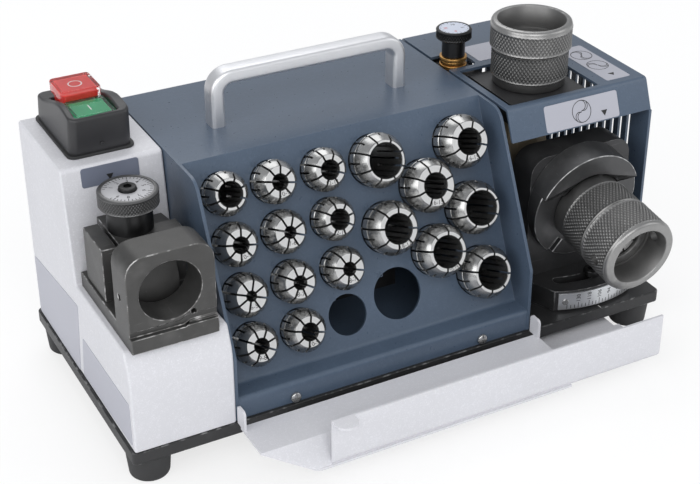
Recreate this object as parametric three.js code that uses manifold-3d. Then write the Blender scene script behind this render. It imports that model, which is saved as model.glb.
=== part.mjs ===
// Drill bit grinder with a collet rack, a setting gauge, a swivelling point port and a web port.
// Millimetres and degrees, +Z up. Every piece is drawn from the front left corner of the base
// plate, with its top face, the deck, at height zero. The whole is centred on its footprint last.
import * as THREE from 'three';
import { mergeVertices } from 'three/addons/utils/BufferGeometryUtils.js';
import Module from 'manifold-3d';

const wasm = await Module();
wasm.setup();

// Driving dimensions
const base = { length: 360, depth: 168, thickness: 8.2, corner: 3 };
const foot = { height: 16.5, topRadius: 13, soleRadius: 11.5, edge: 1.5, inset: 13.5 };
const casing = { height: 132.5, sheet: 2, bend: 3 };
const clearance = 0.3;
const overrun = 4;
const sides = { fine: 24, medium: 16, hole: 14, coarse: 12, bolt: 8, hexagon: 6 };
const arcSteps = 3;

const housing = {
  left: 1.5, right: 62.2, back: 166, wall: 2.5, edge: 3, bevel: 1.4,
  ledge: 63.3, columnFoot: 82, columnTop: 90.1, plinth: 41.8, shoulder: 50.4,
  shoulderSet: 1.3, lipSet: 6.5,
};
const toggle = {
  left: 12, right: 49, front: 98, footFront: 101, back: 162, gasket: 1.8, gasketMargin: 1.5,
  rimFront: 156.3, rimCrest: 159, crestAt: 115.3, rimRear: 149.4, rearAt: 154.7, corner: 3,
  wellFloor: 140, draft: 1.5,
};
const button = {
  left: 17.5, right: 41.5, greenFront: 102, greenBack: 125.2, redBack: 149, greenTop: 156.8,
  redTop: 161.8, height: 13, corner: 2, bevel: 1.2, gap: 0.4,
};
const gauge = {
  left: 5, right: 55.3, front: 0.9, faceSet: 2, plateBack: 24, footTop: 9, stepUp: 2,
  stepAt: 36, grooveHeight: 3.5, grooveDepth: 3, top: 56.8, corner: 11, boreX: 29.8,
  boreHeight: 32, boreRadius: 17.7, slotFloor: 9.6, blockLeft: 17, blockFront: 45, blockTop: 42.1,
  pinX: 41.9, pinHeight: 15.8, pinRadius: 1.5, rampFront: 58, rampFall: 8, rampLeft: 40,
};
const gaugeBack = housing.columnFoot - housing.bevel - clearance;
const sideBlock = { left: 6.3, right: 15.3, front: 42.9, back: 72.5, top: 42.1, stepDepth: 12, drop: 9 };
const slide = { left: 18, right: 44, front: 27.5, back: 40.5, top: 45, chamfer: 10, stem: 4, reach: 20 };
const dial = {
  x: 30, y: 61, hubRadius: 12.9, hubTop: 56, radius: 17, height: 9.5, rim: 1, recess: 1.2,
  faceRadius: 14.5, screwRadius: 5, screwHeight: 2.4, socket: 2.6, socketDepth: 1.4, shank: 2.5,
};
const rack = {
  left: 62.5, right: 260.5, topBend: 67.6, foldY: 16, foldHeight: 13.8, apronY: 2,
  cheekFront: 1.5, cheekKnee: 42.1, cheekTop: 44.6, cheekRound: 12,
};
const screw = {
  leftX: 100, rightX: 226, height: 3.9, radius: 3.2, crown: 2.2, head: 1.8, rim: 1.1, shank: 1.7, grip: 4,
};
const handle = {
  left: 97.5, right: 226.5, front: 99.5, back: 112, top: 166.8, bar: 8.7, corner: 14, bevel: 1.8,
};
const small = {
  radius: 13, length: 34, face: 9.3, holeRadius: 12.35, columns: [83.8, 114.2, 145.9],
  rows: [21.2, 50.3, 79.7, 108.7],
};
const large = { radius: 16.5, length: 40, face: 12.35, holeRadius: 15.65 };
const colletTaper = 8;
const colletNose = 30;
const slit = { width: 0.9, count: 6, tail: 9 };
const hood = {
  left: 262.5, right: 365.5, lipTop: 41, lipFoot: 33.4, lipFootHeight: 113.3, wallFront: 32.3,
  flange: 6, portLeft: 267, portRight: 332, portFront: 45.3, notchRight: 283.5,
  notchFront: 108, notchBack: 130, notchCorner: 4, slotWidth: 3.2, slotPitch: 8.1, slotFoot: 48,
  slotTop: 108, slotStart: 52, slotCount: 13,
};
const bulkhead = {
  left: 263, thickness: 8, front: 58, saddle: 134, bossWidth: 20, bossFront: 108.5, bossBack: 130.5,
  bossFoot: 88, shaftHole: 12,
};
const port = {
  left: 273, right: 327, front: 45.8, back: 102, top: 128.8, thickness: 14, armLeft: 263.5,
  armRight: 283, armBack: 130, lift: 1.2, corner: 3,
};
const knob = {
  x: 272.5, y: 119.5, radius: 11.4, top: 154.8, skirt: 148.2, stem: 7.4, stemFoot: 136.8, shank: 4,
  shankFoot: 96, ringRadius: 8.8, chamfer: 1,
};
const motor = {
  y: 114, height: 68.8, radius: 38, left: 88, right: 235, nose: 26, bell: 12, bellRadius: 33,
  saddleLeft: 112, saddleRight: 212, saddleHalf: 30, saddleTop: 46, boreDepth: 28,
};
const shaft = { radius: 7, right: 340, collarLeft: 280, collarRight: 285.7, collar: 13 };
const wheel = { left: 286, right: 324, radius: 39, land: 15, face: 32, recess: 22, recessDepth: 9 };
const nut = { radius: 11.5, height: 9 };
const swivel = {
  x: 315, y: 75, thickness: 14.3, radius: 70.5, half: 36, back: 90, shoulder: 26, slotRadius: 57,
  slotHalf: 3.6, slotSweep: 24, sweep: 25,
};
const scale = { thickness: 0.9, height: 11.5, foot: 1.4, sweepLeft: 23, sweepRight: 22 };
const clamp = { head: 5.2, headHeight: 4, shank: 3, socket: 2.4, socketDepth: 2, angle: 3 };
const bracket = { left: 278, right: 352, front: 34, back: 54, top: 97.8, corner: 12 };
const axis = { x: 314, y: 25, height: 62.8, tilt: 8.5 };
const cam = {
  radius: 37.5, moon: 3, chord: 14, slotWidth: 5, slotDepth: 3.5, slotAngle: 235, slotInner: 27,
};
const grip = { spigot: 20, lip: 2.2, nose: 18.9, noseLength: 17, gap: 0.4, edge: 1.2, groove: 0.3 };
const topChuck = {
  x: 302.6, y: 78.3, total: 41.3, split: 24, nutRadius: 25.4, sleeveRadius: 24, footRadius: 22.6,
  footHeight: 6, mouthRadius: 21, mouthDepth: 14.8, thread: 10, bore: 8,
};
const frontChuck = {
  total: 57.6, split: 31.7, nutRadius: 25, sleeveRadius: 24.6, footRadius: 23.5, footHeight: 10.6,
  mouthRadius: 18.6, mouthDepth: 18, thread: 8, bore: 8, crossHole: 3.5, crossInset: 11.9, crossAngle: 7,
};
const tray = {
  sheet: 1.5, left: 62.5, shelfRight: 261, shelfBack: -4.5, shelfFront: -31, shelfTop: -0.2,
  right: 326, front: -45, floor: -14.2, wallTop: 16.8, wallLeft: 99.5, slopeLeft: 96.6, bend: 5,
  tuckWidth: 82, tuckClear: 11.5, tuckBack: 70, earBack: -0.3, earFront: -9.6, earTop: 12.4,
  earCorner: 2.5, tabLeft: 100, tabRight: 113.5, tabReach: 8.3,
};

// Finishes
const finish = {
  blue: { color: 0x44586c, roughness: 0.45, metalness: 0.15 },
  white: { color: 0xe6e7ea, roughness: 0.45, metalness: 0.05 },
  blackSteel: { color: 0x3a3a3c, roughness: 0.55, metalness: 0.6 },
  blackPaint: { color: 0x232427, roughness: 0.6, metalness: 0.1 },
  blackPlastic: { color: 0x19191b, roughness: 0.5, metalness: 0 },
  rubber: { color: 0x1d1d1f, roughness: 0.85, metalness: 0 },
  silver: { color: 0xc3c4c4, roughness: 0.35, metalness: 0.85 },
  greySteel: { color: 0x85837f, roughness: 0.45, metalness: 0.8 },
  ground: { color: 0xb4b5b6, roughness: 0.22, metalness: 0.95 },
  scale: { color: 0xd2d3d6, roughness: 0.4, metalness: 0.4 },
  red: { color: 0xc8342f, roughness: 0.35, metalness: 0 },
  green: { color: 0x1d9c62, roughness: 0.35, metalness: 0 },
  brass: { color: 0xb98a45, roughness: 0.35, metalness: 0.9 },
  motor: { color: 0x6a6d70, roughness: 0.5, metalness: 0.5 },
  grit: { color: 0x8e7f6a, roughness: 0.9, metalness: 0.1 },
};

// Solids
function solid(geometry) {
  const bare = geometry.clone();
  bare.deleteAttribute('normal');
  bare.deleteAttribute('uv');
  const merged = mergeVertices(bare, 1e-4);
  const corners = merged.index.array;
  const faces = [];
  for (let i = 0; i < corners.length; i += 3) {
    const [a, b, c] = [corners[i], corners[i + 1], corners[i + 2]];
    if (a !== b && b !== c && c !== a) faces.push(a, b, c);
  }
  return new wasm.Manifold(new wasm.Mesh({
    numProp: 3,
    vertProperties: new Float32Array(merged.attributes.position.array),
    triVerts: new Uint32Array(faces),
  }));
}

function geometryOf(manifold) {
  const mesh = manifold.getMesh();
  const geometry = new THREE.BufferGeometry();
  geometry.setAttribute('position', new THREE.BufferAttribute(new Float32Array(mesh.vertProperties), 3));
  geometry.setIndex(new THREE.BufferAttribute(new Uint32Array(mesh.triVerts), 1));
  geometry.computeVertexNormals();
  return geometry;
}

function cut(body, ...tools) {
  return geometryOf(tools.reduce((left, tool) => left.subtract(solid(tool)), solid(body)));
}

function join(body, ...others) {
  return geometryOf(others.reduce((sum, other) => sum.add(solid(other)), solid(body)));
}

// Outlines
const radians = THREE.MathUtils.degToRad;
const tangent = (degrees) => Math.tan(radians(degrees));
const point = (a, b) => new THREE.Vector2(a, b);
const polar = (a, b, radius, degrees) => point(
  a + radius * Math.cos(radians(degrees)),
  b + radius * Math.sin(radians(degrees)),
);

function arc(a, b, radius, from, to, steps) {
  const step = (to - from) / steps;
  return Array.from({ length: steps + 1 }, (_, i) => polar(a, b, radius, from + i * step));
}

function circle(a, b, radius, count = sides.medium) {
  return arc(a, b, radius, 0, 360, count).slice(0, count);
}

// A closed outline from corners [a, b, radius]; a corner with a radius becomes a short arc
function outline(corners, steps = arcSteps) {
  const at = (i) => point(...corners[(i + corners.length) % corners.length].slice(0, 2));
  return corners.flatMap(([, , radius = 0], i) => {
    const here = at(i);
    if (radius === 0) return [here];
    const back = at(i - 1).sub(here);
    const ahead = at(i + 1).sub(here);
    const room = Math.min(back.length(), ahead.length()) / 2;
    back.normalize();
    ahead.normalize();
    const half = Math.acos(THREE.MathUtils.clamp(back.dot(ahead), -1, 1)) / 2;
    const reach = Math.min(radius / Math.tan(half), room);
    const bend = reach * Math.tan(half);
    const inward = back.clone().add(ahead).setLength(bend / Math.sin(half));
    const centre = here.clone().add(inward);
    const start = here.clone().addScaledVector(back, reach).sub(centre).angle();
    const end = here.clone().addScaledVector(ahead, reach).sub(centre).angle();
    const turn = Math.atan2(Math.sin(end - start), Math.cos(end - start));
    const degrees = THREE.MathUtils.radToDeg;
    return arc(centre.x, centre.y, bend, degrees(start), degrees(start + turn), steps);
  });
}

function box2(a0, b0, a1, b1, radius = 0) {
  return outline([[a0, b0, radius], [a1, b0, radius], [a1, b1, radius], [a0, b1, radius]]);
}

// The line through the given corners moved sideways to its left, with mitred corners
function offset(corners, distance, closed = false) {
  const line = corners.map(([a, b]) => point(a, b));
  const count = line.length;
  const leftOf = (from, to) => point(from.y - to.y, to.x - from.x).normalize();
  return line.map((here, i) => {
    const first = !closed && i === 0;
    const last = !closed && i === count - 1;
    const before = first ? null : leftOf(line[(i + count - 1) % count], here);
    const after = last ? null : leftOf(here, line[(i + 1) % count]);
    const one = before ?? after;
    const two = after ?? before;
    const middle = one.clone().add(two).normalize();
    return here.clone().addScaledVector(middle, distance / middle.dot(one)).toArray();
  });
}

// The outline of bent sheet that lies to the left of the line through the corners
function sheetOutline(corners, thickness, bend = 0) {
  const inner = offset(corners, thickness).reverse();
  const round = (list) => list.map(([a, b], i) => {
    const end = i === 0 || i === list.length - 1;
    return [a, b, end ? 0 : bend];
  });
  return outline([...round(corners), ...round(inner)]);
}

// Extrusions along an axis: the outline is in (y, z) along x, in (x, z) along y, in (x, y) along z
const across = {
  x: new THREE.Matrix4().makeBasis(
    new THREE.Vector3(0, 1, 0), new THREE.Vector3(0, 0, 1), new THREE.Vector3(1, 0, 0)),
  y: new THREE.Matrix4().makeBasis(
    new THREE.Vector3(1, 0, 0), new THREE.Vector3(0, 0, 1), new THREE.Vector3(0, -1, 0)),
  z: new THREE.Matrix4(),
};

function prism(points, along, from, to, { holes = [], bevel = 0, bevelSteps = 1 } = {}) {
  const shape = new THREE.Shape(points);
  shape.holes = holes.map((hole) => new THREE.Path(hole));
  const geometry = new THREE.ExtrudeGeometry(shape, {
    depth: to - from - 2 * bevel,
    bevelEnabled: bevel > 0,
    bevelThickness: bevel,
    bevelSize: bevel,
    bevelOffset: -bevel,
    bevelSegments: bevelSteps,
    steps: 1,
  });
  geometry.translate(0, 0, bevel);
  geometry.applyMatrix4(across[along]);
  if (along === 'y') return geometry.translate(0, to, 0);
  return along === 'x' ? geometry.translate(from, 0, 0) : geometry.translate(0, 0, from);
}

function block(x0, x1, y0, y1, z0, z1) {
  return new THREE.BoxGeometry(x1 - x0, y1 - y0, z1 - z0)
    .translate((x0 + x1) / 2, (y0 + y1) / 2, (z0 + z1) / 2);
}

// A closed profile of [radius, height] corners turned about z
function turned(profile, count = sides.medium) {
  const closed = [...profile, profile[0]].map(([r, h]) => point(r, h));
  const lathe = new THREE.LatheGeometry(closed, count).rotateX(Math.PI / 2);
  return geometryOf(solid(lathe));
}

const alongX = (geometry) => geometry.rotateY(Math.PI / 2);

// Scene graph
const machine = new THREE.Group();

function add(name, geometry, look, parent = machine) {
  const mesh = new THREE.Mesh(geometry, new THREE.MeshStandardMaterial(finish[look]));
  mesh.name = name;
  parent.add(mesh);
  return mesh;
}

// Base plate and feet
function makeBase() {
  const plate = prism(box2(0, 0, base.length, base.depth, base.corner), 'z', -base.thickness, 0);
  add('base_plate', plate, 'blackPaint');
  const profile = [
    [0, 0], [foot.soleRadius - foot.edge, 0], [foot.soleRadius, foot.edge],
    [foot.topRadius, foot.height], [0, foot.height],
  ];
  const places = {
    foot_front_left: [foot.inset, foot.inset],
    foot_front_right: [base.length - foot.inset, foot.inset],
    foot_rear_left: [foot.inset, base.depth - foot.inset],
    foot_rear_right: [base.length - foot.inset, base.depth - foot.inset],
  };
  for (const [name, [x, y]] of Object.entries(places)) {
    const mesh = add(name, turned(profile, sides.coarse), 'rubber');
    mesh.position.set(x, y, -base.thickness - foot.height);
  }
}

// White housing with its ledge and leaning column, open at the foot
function makeHousing() {
  const corners = [
    [0, -overrun], [housing.back, -overrun], [housing.back, casing.height],
    [housing.columnTop, casing.height], [housing.columnFoot, housing.ledge],
    [housing.lipSet, housing.ledge], [housing.shoulderSet, housing.shoulder], [0, housing.plinth],
  ];
  const rounds = [0, 0, housing.edge, housing.edge, housing.bevel, housing.edge, 0, 0];
  const outer = outline(corners.map(([a, b], i) => [a, b, rounds[i]]));
  const within = offset(corners, housing.wall, true);
  const inner = outline(within.map(([a, b]) => [a, Math.min(b, casing.height)]));
  const hollow = inner.map(({ x, y }) => point(x, y < 0 ? -2 * overrun : y));
  const shell = cut(
    prism(outer, 'x', housing.left, housing.right, { bevel: housing.bevel, bevelSteps: 2 }),
    prism(hollow, 'x', housing.left + housing.wall, housing.right - housing.wall),
    block(-overrun, housing.right + overrun, -overrun, housing.back + overrun, -2 * overrun, 0),
  );
  add('switch_housing', shell, 'white');
}

// Push-button switch: seal, surround with a swept rim, two buttons
function makeSwitch() {
  const seat = casing.height;
  const sealTop = seat + toggle.gasket;
  const margin = toggle.gasketMargin;
  const seal = box2(
    toggle.left - margin, toggle.footFront - margin, toggle.right + margin, toggle.back + margin,
    toggle.corner);
  add('switch_gasket', prism(seal, 'z', seat, sealTop), 'rubber');

  const crest = point(toggle.crestAt, toggle.rimCrest);
  const rear = point(toggle.rearAt, toggle.rimRear);
  const slope = (rear.y - crest.y) / (rear.x - crest.x);
  const sweep = new THREE.CubicBezierCurve(
    rear,
    point(rear.x - (rear.x - crest.x) / 3, rear.y - slope * (rear.x - crest.x) / 3),
    point(crest.x + (rear.x - crest.x) / 3, crest.y),
    crest,
  ).getPoints(2 * arcSteps);
  const side = [
    point(toggle.footFront, sealTop), point(toggle.back, sealTop),
    point(toggle.back - toggle.draft, toggle.rimRear - toggle.draft), ...sweep,
    point(toggle.front, toggle.rimFront),
  ];
  const well = box2(
    button.left - button.gap, button.greenFront - button.gap,
    button.right + button.gap, button.redBack + button.gap);
  const surround = cut(
    prism(side, 'x', toggle.left, toggle.right, { bevel: toggle.draft }),
    prism(well, 'z', toggle.wellFloor, toggle.rimCrest + overrun),
    block(toggle.left, toggle.right, toggle.front, toggle.back, seat - overrun, sealTop),
  );
  add('switch_body', surround, 'blackPlastic');

  const cap = (front, back, top) => prism(
    box2(button.left, front, button.right, back, button.corner), 'z', top - button.height, top,
    { bevel: button.bevel });
  add('start_button', cap(button.greenFront, button.greenBack, button.greenTop), 'green');
  add('stop_button', cap(button.greenBack + 2 * button.gap, button.redBack, button.redTop), 'red');
}

// Setting gauge on the ledge, drawn with its seat at height zero
function makeGauge() {
  const group = new THREE.Group();
  group.position.z = housing.ledge;
  machine.add(group);
  const high = gauge.footTop + gauge.stepUp;
  const face = gauge.front + gauge.faceSet;
  const shape = outline([
    [gauge.left, 0], [gauge.right, 0], [gauge.right, gauge.top, gauge.corner],
    [gauge.left, gauge.top, gauge.corner],
  ]);
  const plate = prism(shape, 'y', face, gauge.plateBack);
  const floorBlock = block(gauge.left, gauge.right, gauge.front, gaugeBack, 0, gauge.slotFloor);
  const rear = block(gauge.blockLeft, gauge.right, gauge.blockFront, gaugeBack, 0, gauge.blockTop);
  const grooveEnd = gauge.front + gauge.grooveDepth;
  const ramp = [
    point(gauge.rampFront, gauge.blockTop + overrun),
    point(gauge.rampFront, gauge.blockTop - gauge.rampFall / 2),
    point(gaugeBack + overrun, gauge.blockTop - gauge.rampFall),
    point(gaugeBack + overrun, gauge.blockTop + overrun),
  ];
  const mouth = circle(gauge.boreX, gauge.boreHeight, gauge.boreRadius, sides.fine);
  const pin = circle(gauge.pinX, gauge.pinHeight, gauge.pinRadius, sides.bolt);
  const body = cut(
    join(plate, floorBlock, rear),
    prism(mouth, 'y', -overrun, gauge.plateBack + clearance),
    prism(pin, 'y', -overrun, gauge.plateBack / 2),
    block(-overrun, gauge.stepAt, -overrun, grooveEnd, gauge.footTop, gauge.footTop + gauge.grooveHeight),
    block(gauge.stepAt, gauge.right + overrun, -overrun, grooveEnd, high, high + gauge.grooveHeight),
    prism(ramp, 'x', gauge.rampLeft, gauge.right + overrun),
    prism(
      circle(gauge.boreX, gauge.boreHeight, slide.stem + clearance, sides.coarse), 'y',
      gauge.blockFront - overrun, slide.back + slide.reach + overrun),
  );
  add('gauge_body', body, 'blackSteel', group);

  const steps = [
    point(sideBlock.front, gauge.slotFloor), point(sideBlock.back, gauge.slotFloor),
    point(sideBlock.back, sideBlock.top - sideBlock.drop),
    point(sideBlock.back - sideBlock.stepDepth, sideBlock.top - sideBlock.drop),
    point(sideBlock.back - sideBlock.stepDepth, sideBlock.top), point(sideBlock.front, sideBlock.top),
  ];
  add('gauge_side_block', prism(steps, 'x', sideBlock.left, sideBlock.right), 'blackSteel', group);

  const wedge = [
    point(slide.back, gauge.slotFloor + clearance), point(slide.back, slide.top),
    point(slide.front + slide.chamfer, slide.top), point(slide.front, slide.top - 2 * slide.chamfer),
    point(slide.front, gauge.slotFloor + clearance),
  ].reverse();
  const stem = prism(
    circle(gauge.boreX, gauge.boreHeight, slide.stem, sides.coarse), 'y',
    slide.back - slide.stem, slide.back + slide.reach);
  add('gauge_slide', join(prism(wedge, 'x', slide.left, slide.right), stem), 'ground', group);

  const hubFoot = gauge.blockTop;
  const hub = turned([
    [0, hubFoot], [dial.hubRadius, hubFoot], [dial.hubRadius, dial.hubTop], [0, dial.hubTop],
  ]);
  const post = add('dial_hub', cut(hub, prism(
    circle(0, 0, dial.shank + clearance, sides.coarse), 'z', hubFoot + dial.rim, dial.hubTop + overrun,
  )), 'blackSteel', group);
  const dialFoot = dial.hubTop + clearance;
  const dialTop = dialFoot + dial.height;
  const floor = dialTop - dial.recess;
  const bore = dial.shank + clearance;
  const knurled = turned([
    [bore, dialFoot], [dial.radius - dial.rim, dialFoot], [dial.radius, dialFoot + dial.rim],
    [dial.radius, dialTop - dial.rim], [dial.radius - dial.rim, dialTop], [dial.faceRadius, dialTop],
    [dial.faceRadius, floor], [bore, floor],
  ], sides.fine);
  const wheelDial = add('web_dial', knurled, 'blackSteel', group);
  const headFoot = floor + clearance;
  const headTop = headFoot + dial.screwHeight;
  const bolt = turned([
    [0, hubFoot + 2 * dial.rim], [dial.shank, hubFoot + 2 * dial.rim], [dial.shank, headFoot],
    [dial.screwRadius, headFoot], [dial.screwRadius, headTop], [0, headTop],
  ], sides.coarse);
  const key = circle(0, 0, dial.socket, sides.hexagon);
  const socket = prism(key, 'z', headTop - dial.socketDepth, headTop + overrun);
  const centre = add('dial_screw', cut(bolt, socket), 'greySteel', group);
  for (const mesh of [post, wheelDial, centre]) mesh.position.set(dial.x, dial.y, 0);
}

// The sloping panel of the rack cover: its top bend is the origin, x to the right, y up, z outwards
const panelSlope = Math.atan2(casing.height - rack.foldHeight, rack.topBend - rack.foldY);
const panel = new THREE.Group();
panel.position.set(0, rack.topBend, casing.height);
panel.rotation.x = panelSlope;
panel.updateMatrix();

const largeSpots = {
  D1: [180.3, 23.4], D2: [180.3, 64], D3: [180.3, 104.6], E1: [209.4, 44.9], E2: [209.4, 85],
  F1: [237, 24.2], F2: [237, 64.8], F3: [237, 104.9],
};
const smallSpots = Object.fromEntries(small.columns.flatMap((x, i) => small.rows.map(
  (down, j) => [`${'ABC'[i]}${j + 1}`, [x, down]])));

// Rack cover: one bent sheet with two cheeks that stand forward of the panel
function makeRackCover() {
  const t = casing.sheet;
  const top = casing.height;
  const cheek = outline([
    [base.depth, 0], [base.depth, top, casing.bend], [rack.cheekTop, top, rack.cheekRound],
    [rack.cheekFront, rack.cheekKnee], [rack.cheekFront, 0],
  ]);
  const front = [
    [rack.topBend, top], [rack.foldY, rack.foldHeight], [rack.apronY, rack.foldHeight], [rack.apronY, 0],
  ];
  const ahead = outline([
    [rack.topBend, top + overrun], ...front.map(([a, b], i) => [a, b, i === 0 || i === 3 ? 0 : casing.bend]),
    [rack.apronY, -overrun], [-overrun, -overrun], [-overrun, top + overrun],
  ].reverse());
  const within = offset([
    [rack.apronY, 0], [rack.apronY, rack.foldHeight], [rack.foldY, rack.foldHeight], [rack.topBend, top],
    [base.depth, top], [base.depth, 0],
  ], -t);
  const last = within.length - 1;
  const inside = outline([
    [within[0][0], -overrun],
    ...within.slice(1, last).map(([a, b]) => [a, b, t / 2]),
    [within[last][0], -overrun],
  ].reverse());
  const holes = [
    ...Object.values(smallSpots).map(([x, down]) => circle(x, -down, small.holeRadius, sides.hole)),
    ...Object.values(largeSpots).map(([x, down]) => circle(x, -down, large.holeRadius, sides.hole)),
  ].map((hole) => prism(hole, 'z', -2 * t, 2 * t).applyMatrix4(panel.matrix));
  const screws = [screw.leftX, screw.rightX].map((x) => prism(
    circle(x, screw.height, screw.shank + clearance, sides.bolt), 'y',
    rack.apronY - t, rack.apronY + 2 * t));
  const shell = cut(
    prism(cheek, 'x', rack.left, rack.right),
    prism(ahead, 'x', rack.left + t, rack.right - t),
    prism(inside, 'x', rack.left + t, rack.right - t),
    prism(circle(motor.y, motor.height, motor.nose + t), 'x', rack.right - 2 * t, rack.right + t),
    ...holes,
    ...screws,
  );
  add('rack_cover', shell, 'blue');

  for (const [name, x] of [['cover_screw_1', screw.leftX], ['cover_screw_2', screw.rightX]]) {
    const bolt = turned([
      [0, -screw.grip], [screw.shank, -screw.grip], [screw.shank, 0], [screw.radius, 0],
      [screw.radius, screw.rim], [screw.crown, screw.head], [0, screw.head],
    ], sides.bolt);
    const mesh = add(name, bolt, 'greySteel');
    mesh.position.set(x, rack.apronY - clearance, screw.height);
    mesh.rotation.x = Math.PI / 2;
  }
}

// Bow handle on the rack cover
function makeHandle() {
  const inner = handle.corner - handle.bar;
  const bow = outline([
    [handle.left, casing.height], [handle.left + handle.bar, casing.height],
    [handle.left + handle.bar, handle.top - handle.bar, inner],
    [handle.right - handle.bar, handle.top - handle.bar, inner],
    [handle.right - handle.bar, casing.height], [handle.right, casing.height],
    [handle.right, handle.top, handle.corner], [handle.left, handle.top, handle.corner],
  ], arcSteps + 1);
  add('carry_handle', prism(bow, 'y', handle.front, handle.back, { bevel: handle.bevel }), 'silver');
}

// A spring collet, face at height zero and tail below: steep nose cone, slow taper, slits from the face
function makeCollet(size, boreRadius) {
  const noseHeight = (size.radius - size.face) / tangent(colletNose);
  const tail = size.radius - (size.length - noseHeight) * tangent(colletTaper);
  const body = turned([
    [boreRadius, -size.length], [tail, -size.length], [size.radius, -noseHeight],
    [size.face, 0], [boreRadius, 0],
  ], sides.coarse);
  const depth = size.length - slit.tail;
  const width = 2 * (size.radius + overrun);
  const slits = Array.from({ length: slit.count / 2 }, (_, i) => {
    const blade = block(-slit.width / 2, slit.width / 2, -width / 2, width / 2, -depth, overrun);
    return blade.rotateZ(2 * Math.PI * (i / slit.count + 1 / (2 * sides.coarse)));
  });
  return cut(body, ...slits);
}

const colletBores = {
  small: {
    A1: 14.5, A2: 9.5, A3: 6, A4: 9, B1: 9.5, B2: 7, B3: 8, B4: 10.5, C1: 11.5, C2: 12, C3: 8,
  },
  large: { D1: 21, D2: 18, E1: 15.5, E2: 19.5, F1: 16, F2: 21, F3: 20.5 },
};

// How far the widest ring of a stored collet stands out of the panel
function seatHeight(size) {
  return (size.radius - size.holeRadius * Math.cos(Math.PI / sides.hole) + clearance) / tangent(colletTaper);
}

function makeStoredCollets() {
  machine.add(panel);
  for (const [kind, size, spots] of [['small', small, smallSpots], ['large', large, largeSpots]]) {
    const noseHeight = (size.radius - size.face) / tangent(colletNose);
    for (const [spot, bore] of Object.entries(colletBores[kind])) {
      const [x, down] = spots[spot];
      const mesh = add(`${kind}_collet_${spot}`, makeCollet(size, bore / 2), 'ground', panel);
      mesh.position.set(x, -down, seatHeight(size) + noseHeight);
    }
  }
}

// Wheel cover: bent sheet with a lip, slotted right and back walls, the web port and a knob notch
function makeWheelCover() {
  const t = casing.sheet;
  const top = casing.height;
  const shape = outline([
    [base.depth, 0], [base.depth, top, casing.bend], [hood.lipTop, top, casing.bend],
    [hood.lipFoot, hood.lipFootHeight], [hood.wallFront, hood.lipFootHeight], [hood.wallFront, 0],
  ]);
  const lip = offset([
    [hood.lipFoot, hood.lipFootHeight], [hood.lipTop, top], [base.depth, top], [base.depth, 0],
  ], -t);
  const inside = outline([
    [hood.wallFront - overrun, -overrun], [hood.wallFront - overrun, hood.lipFootHeight],
    [lip[0][0], hood.lipFootHeight], [lip[1][0], lip[1][1], t / 2], [lip[2][0], lip[2][1], t / 2],
    [lip[3][0], -overrun],
  ].reverse());
  const half = hood.slotWidth / 2;
  const slots = Array.from({ length: hood.slotCount }, (_, i) => {
    const at = hood.slotStart + i * hood.slotPitch;
    const shape = [
      ...arc(at, hood.slotTop - half, half, 0, 180, 2),
      ...arc(at, hood.slotFoot + half, half, 180, 360, 2),
    ];
    return prism(shape, 'x', hood.right - 2 * t, hood.right + t);
  });
  const portBack = topChuck.y + topChuck.sleeveRadius + grip.edge;
  const opening = box2(hood.portLeft, hood.portFront, hood.portRight, portBack, casing.bend / 2);
  const notch = outline([
    [hood.left - overrun, hood.notchFront], [hood.notchRight, hood.notchFront, hood.notchCorner],
    [hood.notchRight, hood.notchBack, hood.notchCorner], [hood.left - overrun, hood.notchBack],
  ]);
  const shell = join(
    cut(
      prism(shape, 'x', hood.left, hood.right),
      prism(inside, 'x', hood.left - overrun, hood.right - t),
      prism(opening, 'z', top - 2 * t, top + t),
      prism(notch, 'z', top - 2 * t, top + t),
      ...slots,
    ),
    block(hood.right - t - hood.flange, hood.right - t / 2, hood.slotStart, base.depth - t / 2, 0, t),
  );
  add('wheel_cover', shell, 'blue');
}

// Bulkhead between the two bays, with the boss that the feed screw turns in
function makeBulkhead() {
  const right = bulkhead.left + bulkhead.thickness;
  const low = port.top - port.thickness - clearance;
  const high = casing.height - casing.sheet;
  const inner = base.depth - casing.sheet - clearance;
  const shape = outline([
    [bulkhead.front, 0], [inner, 0], [inner, high, casing.bend], [bulkhead.saddle, high],
    [bulkhead.saddle, low], [bulkhead.front, low],
  ]);
  const plate = join(
    prism(shape, 'x', bulkhead.left, right),
    block(bulkhead.left, bulkhead.left + bulkhead.bossWidth, bulkhead.bossFront, bulkhead.bossBack,
      bulkhead.bossFoot, low),
  );
  add('bulkhead', cut(
    plate,
    prism(circle(motor.y, motor.height, bulkhead.shaftHole, sides.coarse), 'x',
      bulkhead.left - overrun, right + overrun),
    prism(circle(knob.x, knob.y, knob.shank + clearance, sides.coarse), 'z',
      knob.shankFoot - clearance - port.lift, low + overrun),
  ), 'blackPaint');
}

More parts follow.
